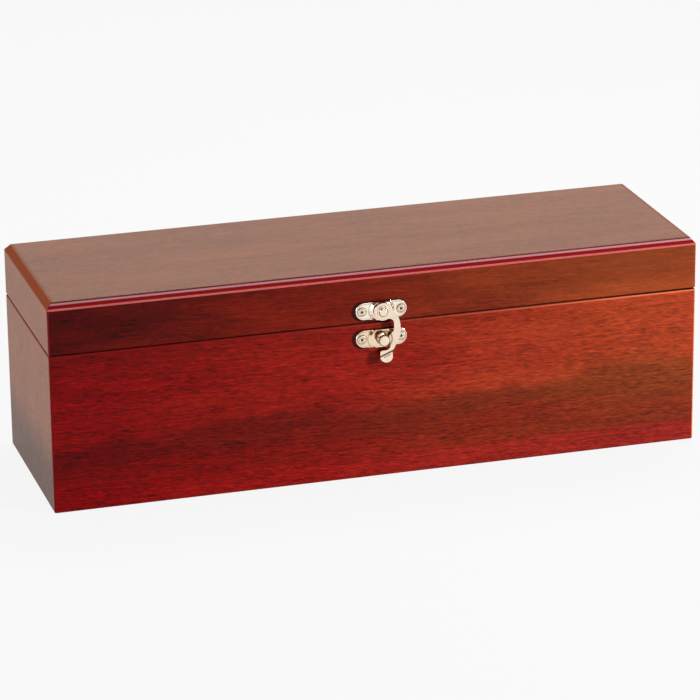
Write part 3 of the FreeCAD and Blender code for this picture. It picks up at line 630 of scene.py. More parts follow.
@dataclass(frozen=True)
class RailVeneer(Veneer):
    """Veneer of a lid rail, with its bevel and its share of the lid's top.

    run and rise are the bevel's, across the top and down the side. Each stripe of it is its
    place, from 0 at the foot to 1 at the head, its colour and the weight of its coat; its
    pale bands are painted highlights and its dark ones painted shade, and paling is how much
    brighter they get to the right, painted highlight too. The top's veneer, of the top's
    colour and figure, takes over within the top_edge of that way.
    """

    solid: Solid = Solid(LID_FOOT, LID_TOP)
    run: float = 3.0 * MM
    rise: float = 4.1 * MM
    stripes: tuple[tuple[float, Colour, float], ...] = (
        (0.0, (0.235, 0.036, 0.0020), 0.0), (1.0, (0.235, 0.036, 0.0020), 0.0))
    paling: float = 0.12
    top: Colour = (0.180, 0.0480, 0.0080)
    top_edge: tuple[float, float] = (0.975, 0.99)
    top_figure: Figure = Figure(contrast=0.50, bands=1.2, lean=0.0, pores=0.4)

    def climb(self, graph: Graph, place: Wire) -> tuple[Wire, Wire]:
        """Give the way up the bevel, from 0 to 1, and a mask that is 1 on the bevel."""
        x, y, z = self.solid.past(graph, place, self.run - 0.05 * MM, self.rise)
        return z / self.rise, graph.step(x.highest(y).lowest(z), 0.0, 0.1 * MM)

    def sockets(self, graph: Graph) -> dict[str, Any]:
        """Do as any veneer, with a coat on the bevel's glossy stripes of painted highlight.

        Args:
            graph: the material's nodes.

        Returns:
            The values and wires of the shader's sockets.
        """
        climb, bevel = self.climb(graph, graph.place())
        gloss = graph.ramp(climb, tuple((at, (coat,) * 3) for at, _, coat in self.stripes))
        values = super().sockets(graph)
        values.update({"Coat Weight": graph.axes(gloss)[0] * bevel, "Coat Roughness": 0.12,
                       "Coat IOR": 1.6})
        return values

    def edged(self, graph: Graph, place: Wire, colour: Wire) -> Wire:
        """Lay the top's veneer on the crown and painted highlight and shade on the bevel.

        Args:
            graph: the material's nodes.
            place: Object coordinates.
            colour: of the upright faces.

        Returns:
            The colour of the whole rail.
        """
        tone, _, _ = self.top_figure.wires(graph, place)
        climb, bevel = self.climb(graph, place)
        # bands of painted highlight and painted shade across the bevel, brighter to the right
        stripes = graph.ramp(climb, tuple((at, tint) for at, tint, _ in self.stripes))
        striped = graph.scaled(stripes, 1.0 + self.drift(graph, place) * self.paling)
        sides = graph.blend(bevel, super().edged(graph, place, colour), striped)
        crown = graph.step(climb, *self.top_edge)
        return graph.blend(crown, sides, graph.scaled(self.top, tone))


@dataclass(frozen=True)
class Plywood(Finish):
    """Stained plywood panel with open pores, seen from below."""

    dark: Colour = (0.090, 0.022, 0.014)
    light: Colour = (0.190, 0.052, 0.030)

    def sockets(self, graph: Graph) -> dict[str, Any]:
        """Wood with short pores along X over soft figure.

        Args:
            graph: the material's nodes.

        Returns:
            The values and wires of the shader's sockets.
        """
        place = graph.place()
        figure = graph.noise(graph.mapped(place, (1.0, 6.0, 6.0)), 18.0, 3.0)
        pits = graph.noise(graph.mapped(place, (1.0, 18.0, 18.0)), 60.0, 2.0)
        pores = graph.step(pits, 0.58, 0.7)
        light = figure - pores * 0.35
        return {
            "Base Color": graph.blend(graph.step(light, 0.15, 0.75), self.dark, self.light),
            "Roughness": graph.step(figure, 0.2, 0.8, 0.5, 0.62),
            "Normal": graph.bump(pores, -0.04 * MM, 0.6),
        }


@dataclass(frozen=True)
class Brass(Finish):
    """Polished pale gilt brass, tarnished in patches, with brown painted shade and patina.

    The brown covers what lies between the depth and the reach along Y, mostly a piece's
    sides, where it is painted shade, and the rings, which are painted shade and shadow with
    some patina where they lie in hollows. polish is the least roughness, and haze what fine
    wear adds to it.
    """

    colour: Colour = (0.975, 0.850, 0.700)
    tarnish: Colour = (0.82, 0.58, 0.34)
    shade_and_patina_colour: Colour = (0.28, 0.13, 0.045)
    polish: float = 0.07
    haze: float = 0.08
    depth: float = 1.0
    reach: float = 2.0
    fade: float = 0.12 * MM
    rings: tuple[Ring, ...] = ()

    def sockets(self, graph: Graph) -> dict[str, Any]:
        """Metal deepened in patches and by painted shade and patina, with varying polish.

        Args:
            graph: the material's nodes.

        Returns:
            The values and wires of the shader's sockets.
        """
        place = graph.place()
        x, y, z = graph.axes(place)
        patches = graph.noise(place, 240.0, 3.0)
        wear = graph.noise(place, 900.0, 3.0, 0.6)
        # painted shade on the sides between depth and reach and on the rings, with patina in
        # hollows
        painted_shade_and_patina = (graph.step(y, self.depth - self.fade, self.depth + self.fade)
                    * graph.step(y, self.reach - self.fade, self.reach + self.fade, 1.0, 0.0))
        for ring in self.rings:
            painted_shade_and_patina = painted_shade_and_patina.highest(ring.mask(graph, x, z))
        metal = graph.blend(graph.step(patches, 0.35, 0.8, 0.0, 0.35), self.colour, self.tarnish)
        return {
            "Base Color": graph.blend(painted_shade_and_patina, metal, self.shade_and_patina_colour),
            "Metallic": 1.0,
            "Roughness": graph.step(wear, 0.25, 0.75, self.polish, self.polish + self.haze),
            "Normal": graph.bump(patches, 0.05 * MM, 0.6),
        }


@dataclass(frozen=True)
class Velvet(Finish):
    """Short-pile velvet, brushed in soft patches."""

    dark: Colour = (0.020, 0.0025, 0.0045)
    light: Colour = (0.088, 0.0110, 0.0180)

    def sockets(self, graph: Graph) -> dict[str, Any]:
        """Pile whose lie changes in patches a few centimetres wide, with a fine nap.

        Args:
            graph: the material's nodes.

        Returns:
            The values and wires of the shader's sockets.
        """
        place = graph.place()
        brushed = graph.noise(place, 38.0, 3.0, 0.6)
        nap = graph.noise(place, 2600.0, 2.0, 0.7)
        lie = graph.step(brushed * 0.8 + nap * 0.4, 0.38, 0.85)
        return {
            "Base Color": graph.blend(lie, self.dark, self.light),
            "Roughness": 0.95,
            "Sheen Weight": 0.65,
            "Sheen Roughness": 0.35,
            "Sheen Tint": (0.80, 0.20, 0.27),
            "Specular IOR Level": 0.15,
            "Normal": graph.bump(nap, 0.12 * MM, 0.7),
        }


# ----------------------------------------------------------------------------- mesh tools

FRONT_AXES = np.array([(1.0, 0.0, 0.0), (0.0, 0.0, 1.0), (0.0, -1.0, 0.0)])
UP_AXES = np.eye(3)
DOWN_AXES = np.array([(1.0, 0.0, 0.0), (0.0, -1.0, 0.0), (0.0, 0.0, -1.0)])
SAME_POINT = 1e-7  # metres between points that count as one
WELDED = 2e-6  # metres between corners of CAD triangles that count as one
SHARP_ANGLE = math.radians(35.0)  # a turn that stays a sharp edge


def placed(name: str, data: bpy.types.ID) -> bpy.types.Object:
    """Make an object of a mesh, a lamp or a camera and put it in the scene.

    Args:
        name: the object's name.
        data: what it shows.

    Returns:
        The object.
    """
    made = bpy.data.objects.new(name, data)
    bpy.context.scene.collection.objects.link(made)
    return made


def rounded(corners: np.ndarray, rounds: np.ndarray | float, steps: int = 6) -> np.ndarray:
    """Round the corners of a closed outline by tangent arcs.

    An arc's ends lie the radius over the tangent of half the corner's angle from the
    corner, and its centre lies the radius over the sine of that half angle away, on the
    bisector. Every arc is sampled evenly in angle, and points that coincide are dropped.

    Args:
        corners: the outline's corners, shape (n, 2).
        rounds: the radius at each corner, or one for all.
        steps: pieces of an arc.

    Returns:
        The points of the rounded outline, in order.
    """
    radius = np.broadcast_to(np.asarray(rounds, float), len(corners))[:, None]
    back = np.roll(corners, 1, axis=0) - corners
    ahead = np.roll(corners, -1, axis=0) - corners
    back = back / np.linalg.norm(back, axis=1, keepdims=True)
    ahead = ahead / np.linalg.norm(ahead, axis=1, keepdims=True)
    half = np.arccos(np.clip((back * ahead).sum(1, keepdims=True), -1.0, 1.0)) / 2
    middle = back + ahead
    middle = middle / np.maximum(np.linalg.norm(middle, axis=1, keepdims=True), 1e-9)
    centre = corners + middle * radius / np.sin(half)
    first = corners + back * radius / np.tan(half) - centre
    last = corners + ahead * radius / np.tan(half) - centre
    start = np.arctan2(first[:, 1], first[:, 0])[:, None]
    turn = np.arctan2(last[:, 1], last[:, 0])[:, None] - start
    turn = (turn + np.pi) % (2 * np.pi) - np.pi
    angle = start + turn * np.linspace(0.0, 1.0, steps + 1)
    arcs = centre[:, None] + radius[:, None] * np.stack((np.cos(angle), np.sin(angle)), axis=-1)
    points = arcs.reshape(-1, 2)
    gaps = np.linalg.norm(points - np.roll(points, 1, axis=0), axis=1)
    return points[gaps > SAME_POINT]


def turned(profile: np.ndarray, centre: tuple[float, float, float], axes: np.ndarray,
           columns: int = 64) -> np.ndarray:
    """Turn a profile about an axis.

    A point goes round the axis: the centre, plus its radius times cosine and sine along
    the two side axes, plus its height along the main axis.

    Args:
        profile: radius and height of each ring, shape (n, 2), or (n, columns, 2) where the
            radius changes round the axis.
        centre: the origin of the profile.
        axes: the two side axes and the main axis, as rows.
        columns: points in a ring.

    Returns:
        Rings of points, shape (n, columns, 3).
    """
    turn = np.linspace(0.0, 2.0 * np.pi, columns, endpoint=False)
    rings = profile if profile.ndim == 3 else np.repeat(profile[:, None], columns, axis=1)
    sides = np.cos(turn)[:, None] * axes[0] + np.sin(turn)[:, None] * axes[1]
    return np.asarray(centre) + rings[..., :1] * sides + rings[..., 1:] * axes[2]


class Shells:
    """Closed shells, gathered into one mesh."""

    def __init__(self) -> None:
        """Start with nothing."""
        self.points: list[np.ndarray] = []
        self.faces: list[list[int]] = []

    def add(self, rings: np.ndarray) -> "Shells":
        """Add a shell of rings that close on themselves, with its two ends filled.

        Args:
            rings: shape (rows, columns, 3); an end whose points coincide becomes a pole.

        Returns:
            The same shells, so that calls can follow each other.
        """
        rows, columns = rings.shape[:2]
        first = sum(len(points) for points in self.points)
        row, column = np.meshgrid(np.arange(rows - 1), np.arange(columns), indexing="ij")
        after = (column + 1) % columns
        quads = np.stack((row * columns + column, row * columns + after,
                          (row + 1) * columns + after, (row + 1) * columns + column), axis=-1)
        self.faces += (first + quads.reshape(-1, 4)).tolist()
        for start, ring in ((0, rings[0]), ((rows - 1) * columns, rings[-1])):
            if np.ptp(ring, axis=0).max() > SAME_POINT:
                self.faces.append(list(range(first + start, first + start + columns)))
        self.points.append(rings.reshape(-1, 3))
        return self

    def build(self, name: str, crease: float = 40.0) -> bpy.types.Object:
        """Make the mesh, merge its doubles and turn its faces outwards.

        Args:
            name: the piece's name.
            crease: edges sharper than this many degrees stay sharp.

        Returns:
            The piece, in the scene.
        """
        mesh = bpy.data.meshes.new(name)
        mesh.from_pydata(np.concatenate(self.points).tolist(), [], self.faces)
        shell = bmesh.new()
        shell.from_mesh(mesh)
        bmesh.ops.remove_doubles(shell, verts=shell.verts, dist=SAME_POINT)
        bmesh.ops.recalc_face_normals(shell, faces=shell.faces)
        shell.to_mesh(mesh)
        shell.free()
        mesh.shade_smooth()
        mesh.set_sharp_from_angle(angle=math.radians(crease))
        return placed(name, mesh)


def flat_shading(piece: bpy.types.Object) -> None:
    """Keep flat faces flat and let the narrow rounds between them carry the shading.

    Args:
        piece: the piece.
    """
    normals = piece.modifiers.new("flat_faces", "WEIGHTED_NORMAL")
    normals.weight = 100
    normals.keep_sharp = True


def softened(piece: bpy.types.Object, width: float, segments: int = 3,
             limit: float = 40.0) -> None:
    """Round a piece's sharp edges with a Bevel modifier.

    Args:
        piece: the piece.
        width: of the round.
        segments: faces across it.
        limit: edges that turn by less than this many degrees stay as they are.
    """
    bevel = piece.modifiers.new("soft_edges", "BEVEL")
    bevel.width = width
    bevel.segments = segments
    bevel.limit_method = "ANGLE"
    bevel.angle_limit = math.radians(limit)
    bevel.use_clamp_overlap = True


def dress(node: str, finish: Finish, soft: float = 0.0) -> None:
    """Give a CAD node its finish, join its triangles and smooth its rounds.

    Args:
        node: the node's name.
        finish: what it is finished in.
        soft: width of a round on its sharp edges.
    """
    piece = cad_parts[node]
    piece.data.materials.clear()
    piece.data.materials.append(finish.material())
    piece.data.shade_smooth()
    weld = piece.modifiers.new("joined", "WELD")
    weld.merge_threshold = WELDED
    if soft:
        softened(piece, soft)
    split = piece.modifiers.new("sharp_edges", "EDGE_SPLIT")
    split.split_angle = SHARP_ANGLE
    split.use_edge_sharp = False
    flat_shading(piece)
    LOG.info("dressed %s", node)


def seat(piece: bpy.types.Object, finish: Finish, body: Body, slot: Slot,
         *nodes: str) -> bpy.types.Object:
    """Finish a new piece, seat it on a body and let it stand for CAD nodes.

    Args:
        piece: the new piece.
        finish: what it is finished in.
        body: the body that it rides on.
        slot: not used.
        nodes: the CAD nodes that it replaces.

    Returns:
        The piece.
    """
    piece.data.materials.append(finish.material())
    flat_shading(piece)
    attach(piece, body.value)
    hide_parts(*nodes)
    LOG.info("built %s in place of %s", piece.name, ", ".join(nodes))
    return piece


# --------------------------------------------------------------------------- the carcass

END_STAIN: dict[str, Any] = {
    "figure": Figure(Grain.UPRIGHT, contrast=0.45, lean=-4.0),
    "left": (0.246, 0.0710, 0.0210), "middle": (0.240, 0.0480, 0.0100),
    # the end boards' edge colours are a painted highlight
    "right": (0.300, 0.0360, 0.0085), "edges": ((0.235, 0.0140, 0.0100), (0.330, 0.0500, 0.0100)),
    "index": 1.12}


def painted_plate_shadow(level: float) -> Ring:
    """Give the painted shadow on the wood to the left of the catch plate at a level."""
    return Ring(CATCH_X - 1.6 * MM, level - 0.05 * MM, radius=4.6 * MM, width=1.6 * MM,
                span=9.25 * MM, weight=0.9)


@dataclass
class Carcass:
    """The wooden boards and panels of the base and the lid."""

    # its pale right edges over a widened rim are a painted highlight, and the line left of the
    # catch plate a painted shadow
    base_front: Veneer = Veneer(
        "base_front_veneer", solid=Solid(0.0, BASE_TOP, rim=1.25 * MM), heart_level=33.0 * MM,
        foot=(-0.08, 0.44), head=(0.28, 0.0), blush=1.0, painted_shadows=(painted_plate_shadow(STUD_LEVEL),),
        edges=((0.150, 0.0030, 0.0030), (0.620, 0.1300, 0.0550)))
    base_back: Veneer = Veneer(
        "base_back_veneer", heart_level=58.0 * MM, heart_rise=-0.02, foot=(0.04, 0.30), blush=0.6)
    # the end boards darken towards the foot as painted shade, for the shadowed floor that their
    # lacquer mirrors
    base_end: Veneer = Veneer("base_end_veneer", foot=(0.60, 0.30), **END_STAIN)
    # the bevel's pale pink and violet bands are painted highlights and its dark ones painted shade;
    # the pale right edges are a painted highlight and the line left of the hook plate a painted
    # shadow
    lid_long: RailVeneer = RailVeneer(
        "lid_long_veneer", figure=Figure(contrast=0.55, bands=2.2), calm=(1.65, 0.62),
        foot=(0.0, -0.30), foot_reach=(3.0 * MM, 11.0 * MM), painted_shadows=(painted_plate_shadow(HOOK_LEVEL),),
        left=(0.055, 0.0006, 0.0005), middle=(0.130, 0.0070, 0.0020),
        right=(0.200, 0.0350, 0.0080), edges=((0.180, 0.0050, 0.0050), (0.300, 0.0600, 0.0250)),
        stripes=((0.0, (0.430, 0.0620, 0.0520), 1.0), (0.20, (0.430, 0.0620, 0.0520), 1.0),
                 (0.30, (0.185, 0.0040, 0.0050), 0.0), (0.59, (0.140, 0.0025, 0.0035), 0.0),
                 (0.67, (0.390, 0.1600, 0.1800), 0.5), (0.80, (0.390, 0.1600, 0.1800), 0.5),
                 (0.87, (0.060, 0.0100, 0.0110), 0.0), (1.0, (0.090, 0.0200, 0.0180), 0.0)))
    lid_end: RailVeneer = RailVeneer("lid_end_veneer", **END_STAIN)
    lid_panel: RailVeneer = RailVeneer("lid_panel_veneer")
    bottom: Plywood = Plywood("bottom_plywood")

    def build(self) -> None:
        """Dress every board, rail and panel."""
        dress("base_front_board", self.base_front)
        dress("base_back_board", self.base_back)
        for side in ("left", "right"):
            dress(f"base_{side}_board", self.base_end)
            dress(f"lid_{side}_rail", self.lid_end)
        for side in ("front", "back"):
            dress(f"lid_{side}_rail", self.lid_long)
        dress("lid_top_panel", self.lid_panel)
        dress("base_bottom_panel", self.bottom)


# ------------------------------------------------------------------------- the fastenings

@dataclass(frozen=True)
class CrossScrew:
    """The head of a wood screw with a cross recess.

    rise is its height over the surface, and sunk how far its side goes under it. rim is
    its rounded edge, and dish the depth of the groove inside it. arm and slot are half the
    length and half the width of the cross, and shares its size at its mouth and its floor.
    """

    radius: float
    rise: float
    sunk: float = 0.0
    shank: float = 1.2 * MM
    rim: float = 0.22 * MM
    dish: float = 0.10 * MM
    arm: float = 1.05 * MM
    slot: float = 0.34 * MM
    depth: float = 0.55 * MM
    shares: tuple[float, float] = (1.22, 0.62)
    columns: int = 96

    def recess(self, turn: float) -> np.ndarray:
        """Give the radius of the cross at every column.

        Seen from the nearest arm's axis, the outline of a cross is the nearer of its arm's
        end and its arm's side, so the radius is the lesser of the arm's length over the
        cosine and half its width over the sine.

        Args:
            turn: how far the cross is turned, in radians.

        Returns:
            One radius a column.
        """
        angle = np.linspace(0.0, 2.0 * np.pi, self.columns, endpoint=False) - turn
        off = np.abs((angle + np.pi / 4) % (np.pi / 2) - np.pi / 4)
        side = self.slot / np.maximum(np.sin(off), 1e-6)
        return np.minimum(self.arm / np.cos(off), side)

    def head(self, centre: tuple[float, float, float], axes: np.ndarray, turn: float) -> np.ndarray:
        """Make the head: a rounded rim, a shallow ring groove and a tapered cross recess.

        The cross is held inside the groove.

        Args:
            centre: middle of the head on the surface that it sits on.
            axes: two side axes and the outward axis.
            turn: of the cross, in degrees.

        Returns:
            Rings of points.
        """
        cross = self.recess(math.radians(turn))
        inner = self.radius - 1.6 * self.rim
        groove = self.radius - 2.6 * self.rim
        bend = np.linspace(0.0, np.pi / 2, 4)
        edge = np.column_stack((self.radius - self.rim * (1 - np.cos(bend)),
                                self.rise - self.rim * (1 - np.sin(bend))))
        foot = -self.sunk - self.shank
        plain = [(0.0, foot), (0.5 * self.radius, foot), (self.radius, -self.sunk), *edge,
                 (inner, self.rise), (groove, self.rise - self.dish)]
        rings = [np.tile(point, (self.columns, 1)) for point in plain]
        top = self.rise - 0.5 * self.dish
        floor = top - self.depth
        mouth, bottom = self.shares
        for share, height in ((mouth, top), (1.0, top), (bottom, floor), (0.0, floor)):
            radius = np.minimum(cross * share, groove * 0.96)
            rings.append(np.column_stack((radius, np.full(self.columns, height))))
        return turned(np.stack(rings), centre, axes, self.columns)


@dataclass(frozen=True)
class CatchPlate:
    """A stamped plate of the catch, with its pressed swell and its two screws.

    The swell's side leans in by its slope, in degrees, and collar is the radius of a painted
    shadow ring on it round the post. turns are the angles of the screws' crosses, in degrees.
    """

    name: str
    body: Body
    level: float
    swell_radius: float
    swell_height: float
    swell_slope: float
    collar: float
    turns: tuple[float, float]
    gilt: Colour
    x: float = CATCH_X
    front: float = -HALF_DEPTH
    length: float = 28.1 * MM
    height: float = 9.6 * MM
    thickness: float = 1.0 * MM
    edge: float = 0.55 * MM
    skirt: float = 1.2 * MM
    screw_spread: float = 21.5 * MM
    screw: CrossScrew = CrossScrew(radius=2.2 * MM, rise=0.6 * MM)
    columns: int = 128

    @property
    def span(self) -> float:
        """Half the length of the plate's straight middle line."""
        return (self.length - self.height) / 2

    @property
    def spots(self) -> tuple[tuple[float, float], ...]:
        """The X and Z of the two screws."""
        return tuple((self.x + sign * self.screw_spread / 2, self.level) for sign in (-1, 1))

    def build(self) -> None:
        """Build the plate and its screws and seat them."""
        face = self.front - self.thickness
        plate = Shells().add(self.slab()).add(self.swell()).build(self.name + "_stamping", 32.0)
        # the plate's sides behind its rounded front edge take painted shade
        brass = Brass(self.name + "_gilt", colour=self.gilt, depth=face + self.edge,
                      rings=self.painted_shade_and_patina())
        seat(plate, brass, self.body, Slot.CATCH, self.name)
        heads = Shells()
        for (x, z), turn in zip(self.spots, self.turns):
            heads.add(self.screw.head((x, face, z), FRONT_AXES, turn))
        # the screws' ring grooves take patina with painted shade
        grooves = tuple(Ring(*spot, radius=1.65 * MM, width=0.35 * MM, weight=0.6)
                        for spot in self.spots)
        # the lower half of each screw head, round its side, takes painted shade
        gilt = Brass(self.name + "_screw_gilt", depth=face - self.screw.rise / 2, rings=grooves)
        seat(heads.build(self.name + "_screw_heads", 38.0), gilt, self.body, Slot.CATCH_SCREWS,
             self.name + "_screws")

    def painted_shade_and_patina(self) -> tuple[Ring, ...]:
        """Give the brown lines of painted shade on the plate, with patina in its hollows.

        They run inside the plate's rim, as painted shade on its rounded edge, round the swell's
        foot, on the swell as a painted shadow round the post, above it along the plate's edge
        as a painted shadow, and round the screws, as painted shade with patina.

        Returns:
            The lines.
        """
        x, z = self.x, self.level
        return (
            Ring(x, z, radius=3.95 * MM, width=0.45 * MM, span=self.span, weight=0.35),
            Ring(x, z, radius=self.swell_radius + 0.2 * MM, width=0.6 * MM, weight=0.5),
            Ring(x, z, radius=self.collar, width=0.6 * MM, weight=0.8),
            Ring(x, z + 3.5 * MM, radius=0.0, width=1.3 * MM, span=2.6 * MM, weight=0.85),
            *(Ring(*spot, radius=self.screw.radius + 0.25 * MM, width=0.55 * MM, weight=0.7)
              for spot in self.spots))

    def slab(self) -> np.ndarray:
        """Make the plate: an outline with round ends whose front edge is a quarter round.

        Every ring is the plate's middle line grown by a radius, which shrinks round the
        edge as the height grows, and ends on the middle line.

        Returns:
            Rings of points.
        """
        end, edge = self.height / 2, self.edge
        curve = np.linspace(0.0, np.pi / 2, 6)
        grown = np.concatenate(([end, end], end - edge * (1 - np.cos(curve)),
                                [end * 0.6, 0.02 * MM]))
        rise = np.concatenate(([0.0, self.thickness - edge],
                               self.thickness - edge * (1 - np.sin(curve)),
                               [self.thickness, self.thickness]))
        turn = np.linspace(0.0, 2 * np.pi, self.columns, endpoint=False)
        x = self.span * np.sign(np.cos(turn)) * (np.abs(np.cos(turn)) > 1e-9)
        return np.stack(np.broadcast_arrays(
            self.x + x + grown[:, None] * np.cos(turn),
            self.front - rise[:, None],
            self.level + grown[:, None] * np.sin(turn)), axis=-1)

    def swell(self) -> np.ndarray:
        """Make the pressed swell, a rounded cone that stops at the plate's long sides.

        Its rings are circles whose radius is held to the distance to the plate's side
        along each direction: half the plate's height over the sine. Its skirt dips under
        the plate's face.

        Returns:
            Rings of points.
        """
        run = (self.swell_height - self.thickness) * math.tan(math.radians(self.swell_slope))
        skirt, inside = self.swell_radius + self.skirt, 0.4 * MM
        corners = np.array([(0.0, self.swell_height), (self.swell_radius - run, self.swell_height),
                            (self.swell_radius, self.thickness),
                            (skirt, self.thickness - 0.05 * MM), (skirt, inside), (0.0, inside)])
        profile = rounded(corners, np.array([0.0, 0.7, 0.9, 0.0, 0.0, 0.0]) * MM, 7)
        turn = np.linspace(0.0, 2 * np.pi, self.columns, endpoint=False)
        side = (self.height / 2 - 0.01 * MM) / np.maximum(np.abs(np.sin(turn)), 1e-6)
        radius = np.minimum(profile[:, :1], side)
        height = np.broadcast_to(profile[:, 1:], radius.shape)
        rings = np.roll(np.stack((radius, height), axis=-1), -np.argmax(profile[:, 1]), axis=0)
        return turned(rings, (self.x, self.front, self.level), FRONT_AXES, self.columns)


@dataclass(frozen=True)
class SwingHook:
    """The stamped hook, with its spur, its notch and its bent finger tab.

    Reaches are measured to the right of the rivet and drops down from it. elbow is the
    arm's reach and its round, and knee and neck are the drops of the corners below it and
    their rounds. tab is the tab's left and right reach and its drop, notch the reach of the
    notch and its round, spur the spur's reach and drop, and throat the throat's reach and
    its upper and lower drop. The tab bends out by the bend's angle along a sloping line.
    """

    x: float = CATCH_X
    level: float = HOOK_LEVEL
    back: float = -HALF_DEPTH - 2.7 * MM
    thickness: float = 1.5 * MM
    eye: float = 4.8 * MM
    eye_end: float = math.radians(31.0)
    arm_lean: float = math.radians(35.0)
    elbow: tuple[float, float] = (9.45 * MM, 12.0 * MM)
    knee: tuple[float, float] = (13.5 * MM, 10.0 * MM)
    neck: tuple[float, float] = (22.5 * MM, 4.0 * MM)
    tab: tuple[float, float, float] = (-1.7 * MM, 5.1 * MM, 28.5 * MM)
    tab_round: float = 3.3 * MM
    lip: float = 21.5 * MM
    lip_round: float = 0.6 * MM
    notch: tuple[float, float] = (4.9 * MM, 3.0 * MM)
    spur: tuple[float, float] = (3.2 * MM, 13.6 * MM)
    spur_round: float = 0.25 * MM
    throat: tuple[float, float, float] = (5.95 * MM, 4.1 * MM, 11.0 * MM)
    throat_round: float = 2.8 * MM
    bend_drop: float = 23.4 * MM
    bend: float = math.radians(24.0)
    bend_radius: float = 6.0 * MM
    bend_slope: float = 0.42
    edge: float = 0.62 * MM

    @property
    def tab_middle(self) -> float:
        """The tab's middle along X."""
        return (self.tab[0] + self.tab[1]) / 2

    @property
    def half_bend(self) -> float:
        """Half the width of the bend on the blank."""
        return self.bend_radius * math.tan(self.bend / 2)

    def outline(self) -> np.ndarray:
        """Give the outline: reach to the right of the rivet and height above it.

        The eye is an arc round the rivet from where the arm leaves it on its upper right,
        over its top and left, to its foot. The rest is straight sides with rounded corners.

        Returns:
            Its points, shape (n, 2).
        """
        left, right, drop = self.tab
        start = self.eye * np.array((math.cos(self.arm_lean), math.sin(self.arm_lean)))
        elbow = self.elbow[0]
        corners = np.array([
            start,
            (elbow, start[1] - (elbow - start[0]) / math.tan(self.arm_lean)),
            (elbow, -self.knee[0]), (right, -self.neck[0]), (right, -drop), (left, -drop),
            (left, -self.lip), (self.notch[0], -self.lip), (self.spur[0], -self.spur[1]),
            (self.throat[0], -self.throat[2]), (self.throat[0], -self.throat[1]),
            (self.eye * math.sin(self.eye_end), -self.throat[1])])
        rounds = np.array((0.0, self.elbow[1], self.knee[1], self.neck[1], self.tab_round,
                           self.tab_round, self.lip_round, self.notch[1], self.spur_round,
                           self.throat_round, self.throat_round, 0.0))
        sides = rounded(corners, rounds, 10)
        first = math.atan2(sides[-1, 1], sides[-1, 0])
        turn = np.linspace(first, self.arm_lean - 2 * math.pi, 42)[1:-1]
        return np.concatenate((sides, self.eye * np.column_stack((np.cos(turn), np.sin(turn)))))

    def build(self, finish: Brass) -> None:
        """Cut the flat blank, bend its tab, and give it its thickness and its soft edge.

        Args:
            finish: what the hook is finished in.
        """
        points = self.outline()
        blank = np.column_stack((points[:, 0], np.zeros(len(points)), points[:, 1]))
        mesh = bpy.data.meshes.new("swing_hook")
        mesh.from_pydata(blank.tolist(), [], [list(range(len(points)))])
        sheet = bmesh.new()
        sheet.from_mesh(mesh)
        for drop in np.linspace(self.bend_drop - self.half_bend,
                                self.bend_drop + self.half_bend, 7):
            bmesh.ops.bisect_plane(sheet, geom=sheet.verts[:] + sheet.edges[:] + sheet.faces[:],
                                   plane_co=(self.tab_middle, 0, -drop),
                                   plane_no=(-self.bend_slope, 0, 1), dist=SAME_POINT)
        sheet.to_mesh(mesh)
        sheet.free()
        flat = np.empty(len(mesh.vertices) * 3)
        mesh.vertices.foreach_get("co", flat)
        mesh.vertices.foreach_set("co", self.bent(flat.reshape(-1, 3)).ravel())
        mesh.shade_smooth()
        normals = np.empty(len(mesh.polygons) * 3)
        mesh.polygons.foreach_get("normal", normals)
        if normals[1::3].mean() > 0:
            mesh.flip_normals()
        hook = placed("swing_hook", mesh)
        plate = hook.modifiers.new("thickness", "SOLIDIFY")
        plate.thickness = self.thickness
        plate.offset = 1.0
        plate.use_even_offset = True
        softened(hook, self.edge, 4, 50.0)
        seat(hook, finish, Body.HOOK, Slot.CATCH, "hook")

    def bent(self, flat: np.ndarray) -> np.ndarray:
        """Bend the tab outwards and put the hook in its place.

        The bend's line slopes up to the right. Down to it the blank is straight. In the bend
        the angle grows with the distance past the line, and a point follows a circle of the
        bend's radius. Past it the blank is straight again.

        Args:
            flat: points of the blank, with the drop as negative Z.

        Returns:
            The points in their place.
        """
        half = self.half_bend
        across = np.array((self.bend_slope, -1.0)) / math.hypot(self.bend_slope, 1.0)
        off = flat[:, ::2] - np.array((self.tab_middle, -self.bend_drop))
        past = np.maximum(off @ across + half, 0.0)
        share = np.clip(past / (2 * half), 0.0, 1.0)
        radius = 2 * half / self.bend
        angle = share * self.bend
        rest = np.maximum(past - 2 * half, 0.0)
        down = np.where(past > 0, radius * np.sin(angle) + rest * np.cos(angle) - past, 0.0)
        out = radius * (1 - np.cos(angle)) + rest * np.sin(angle)
        return np.column_stack((self.x + flat[:, 0] + down * across[0], self.back - out,
                                self.level + flat[:, 2] + down * across[1]))


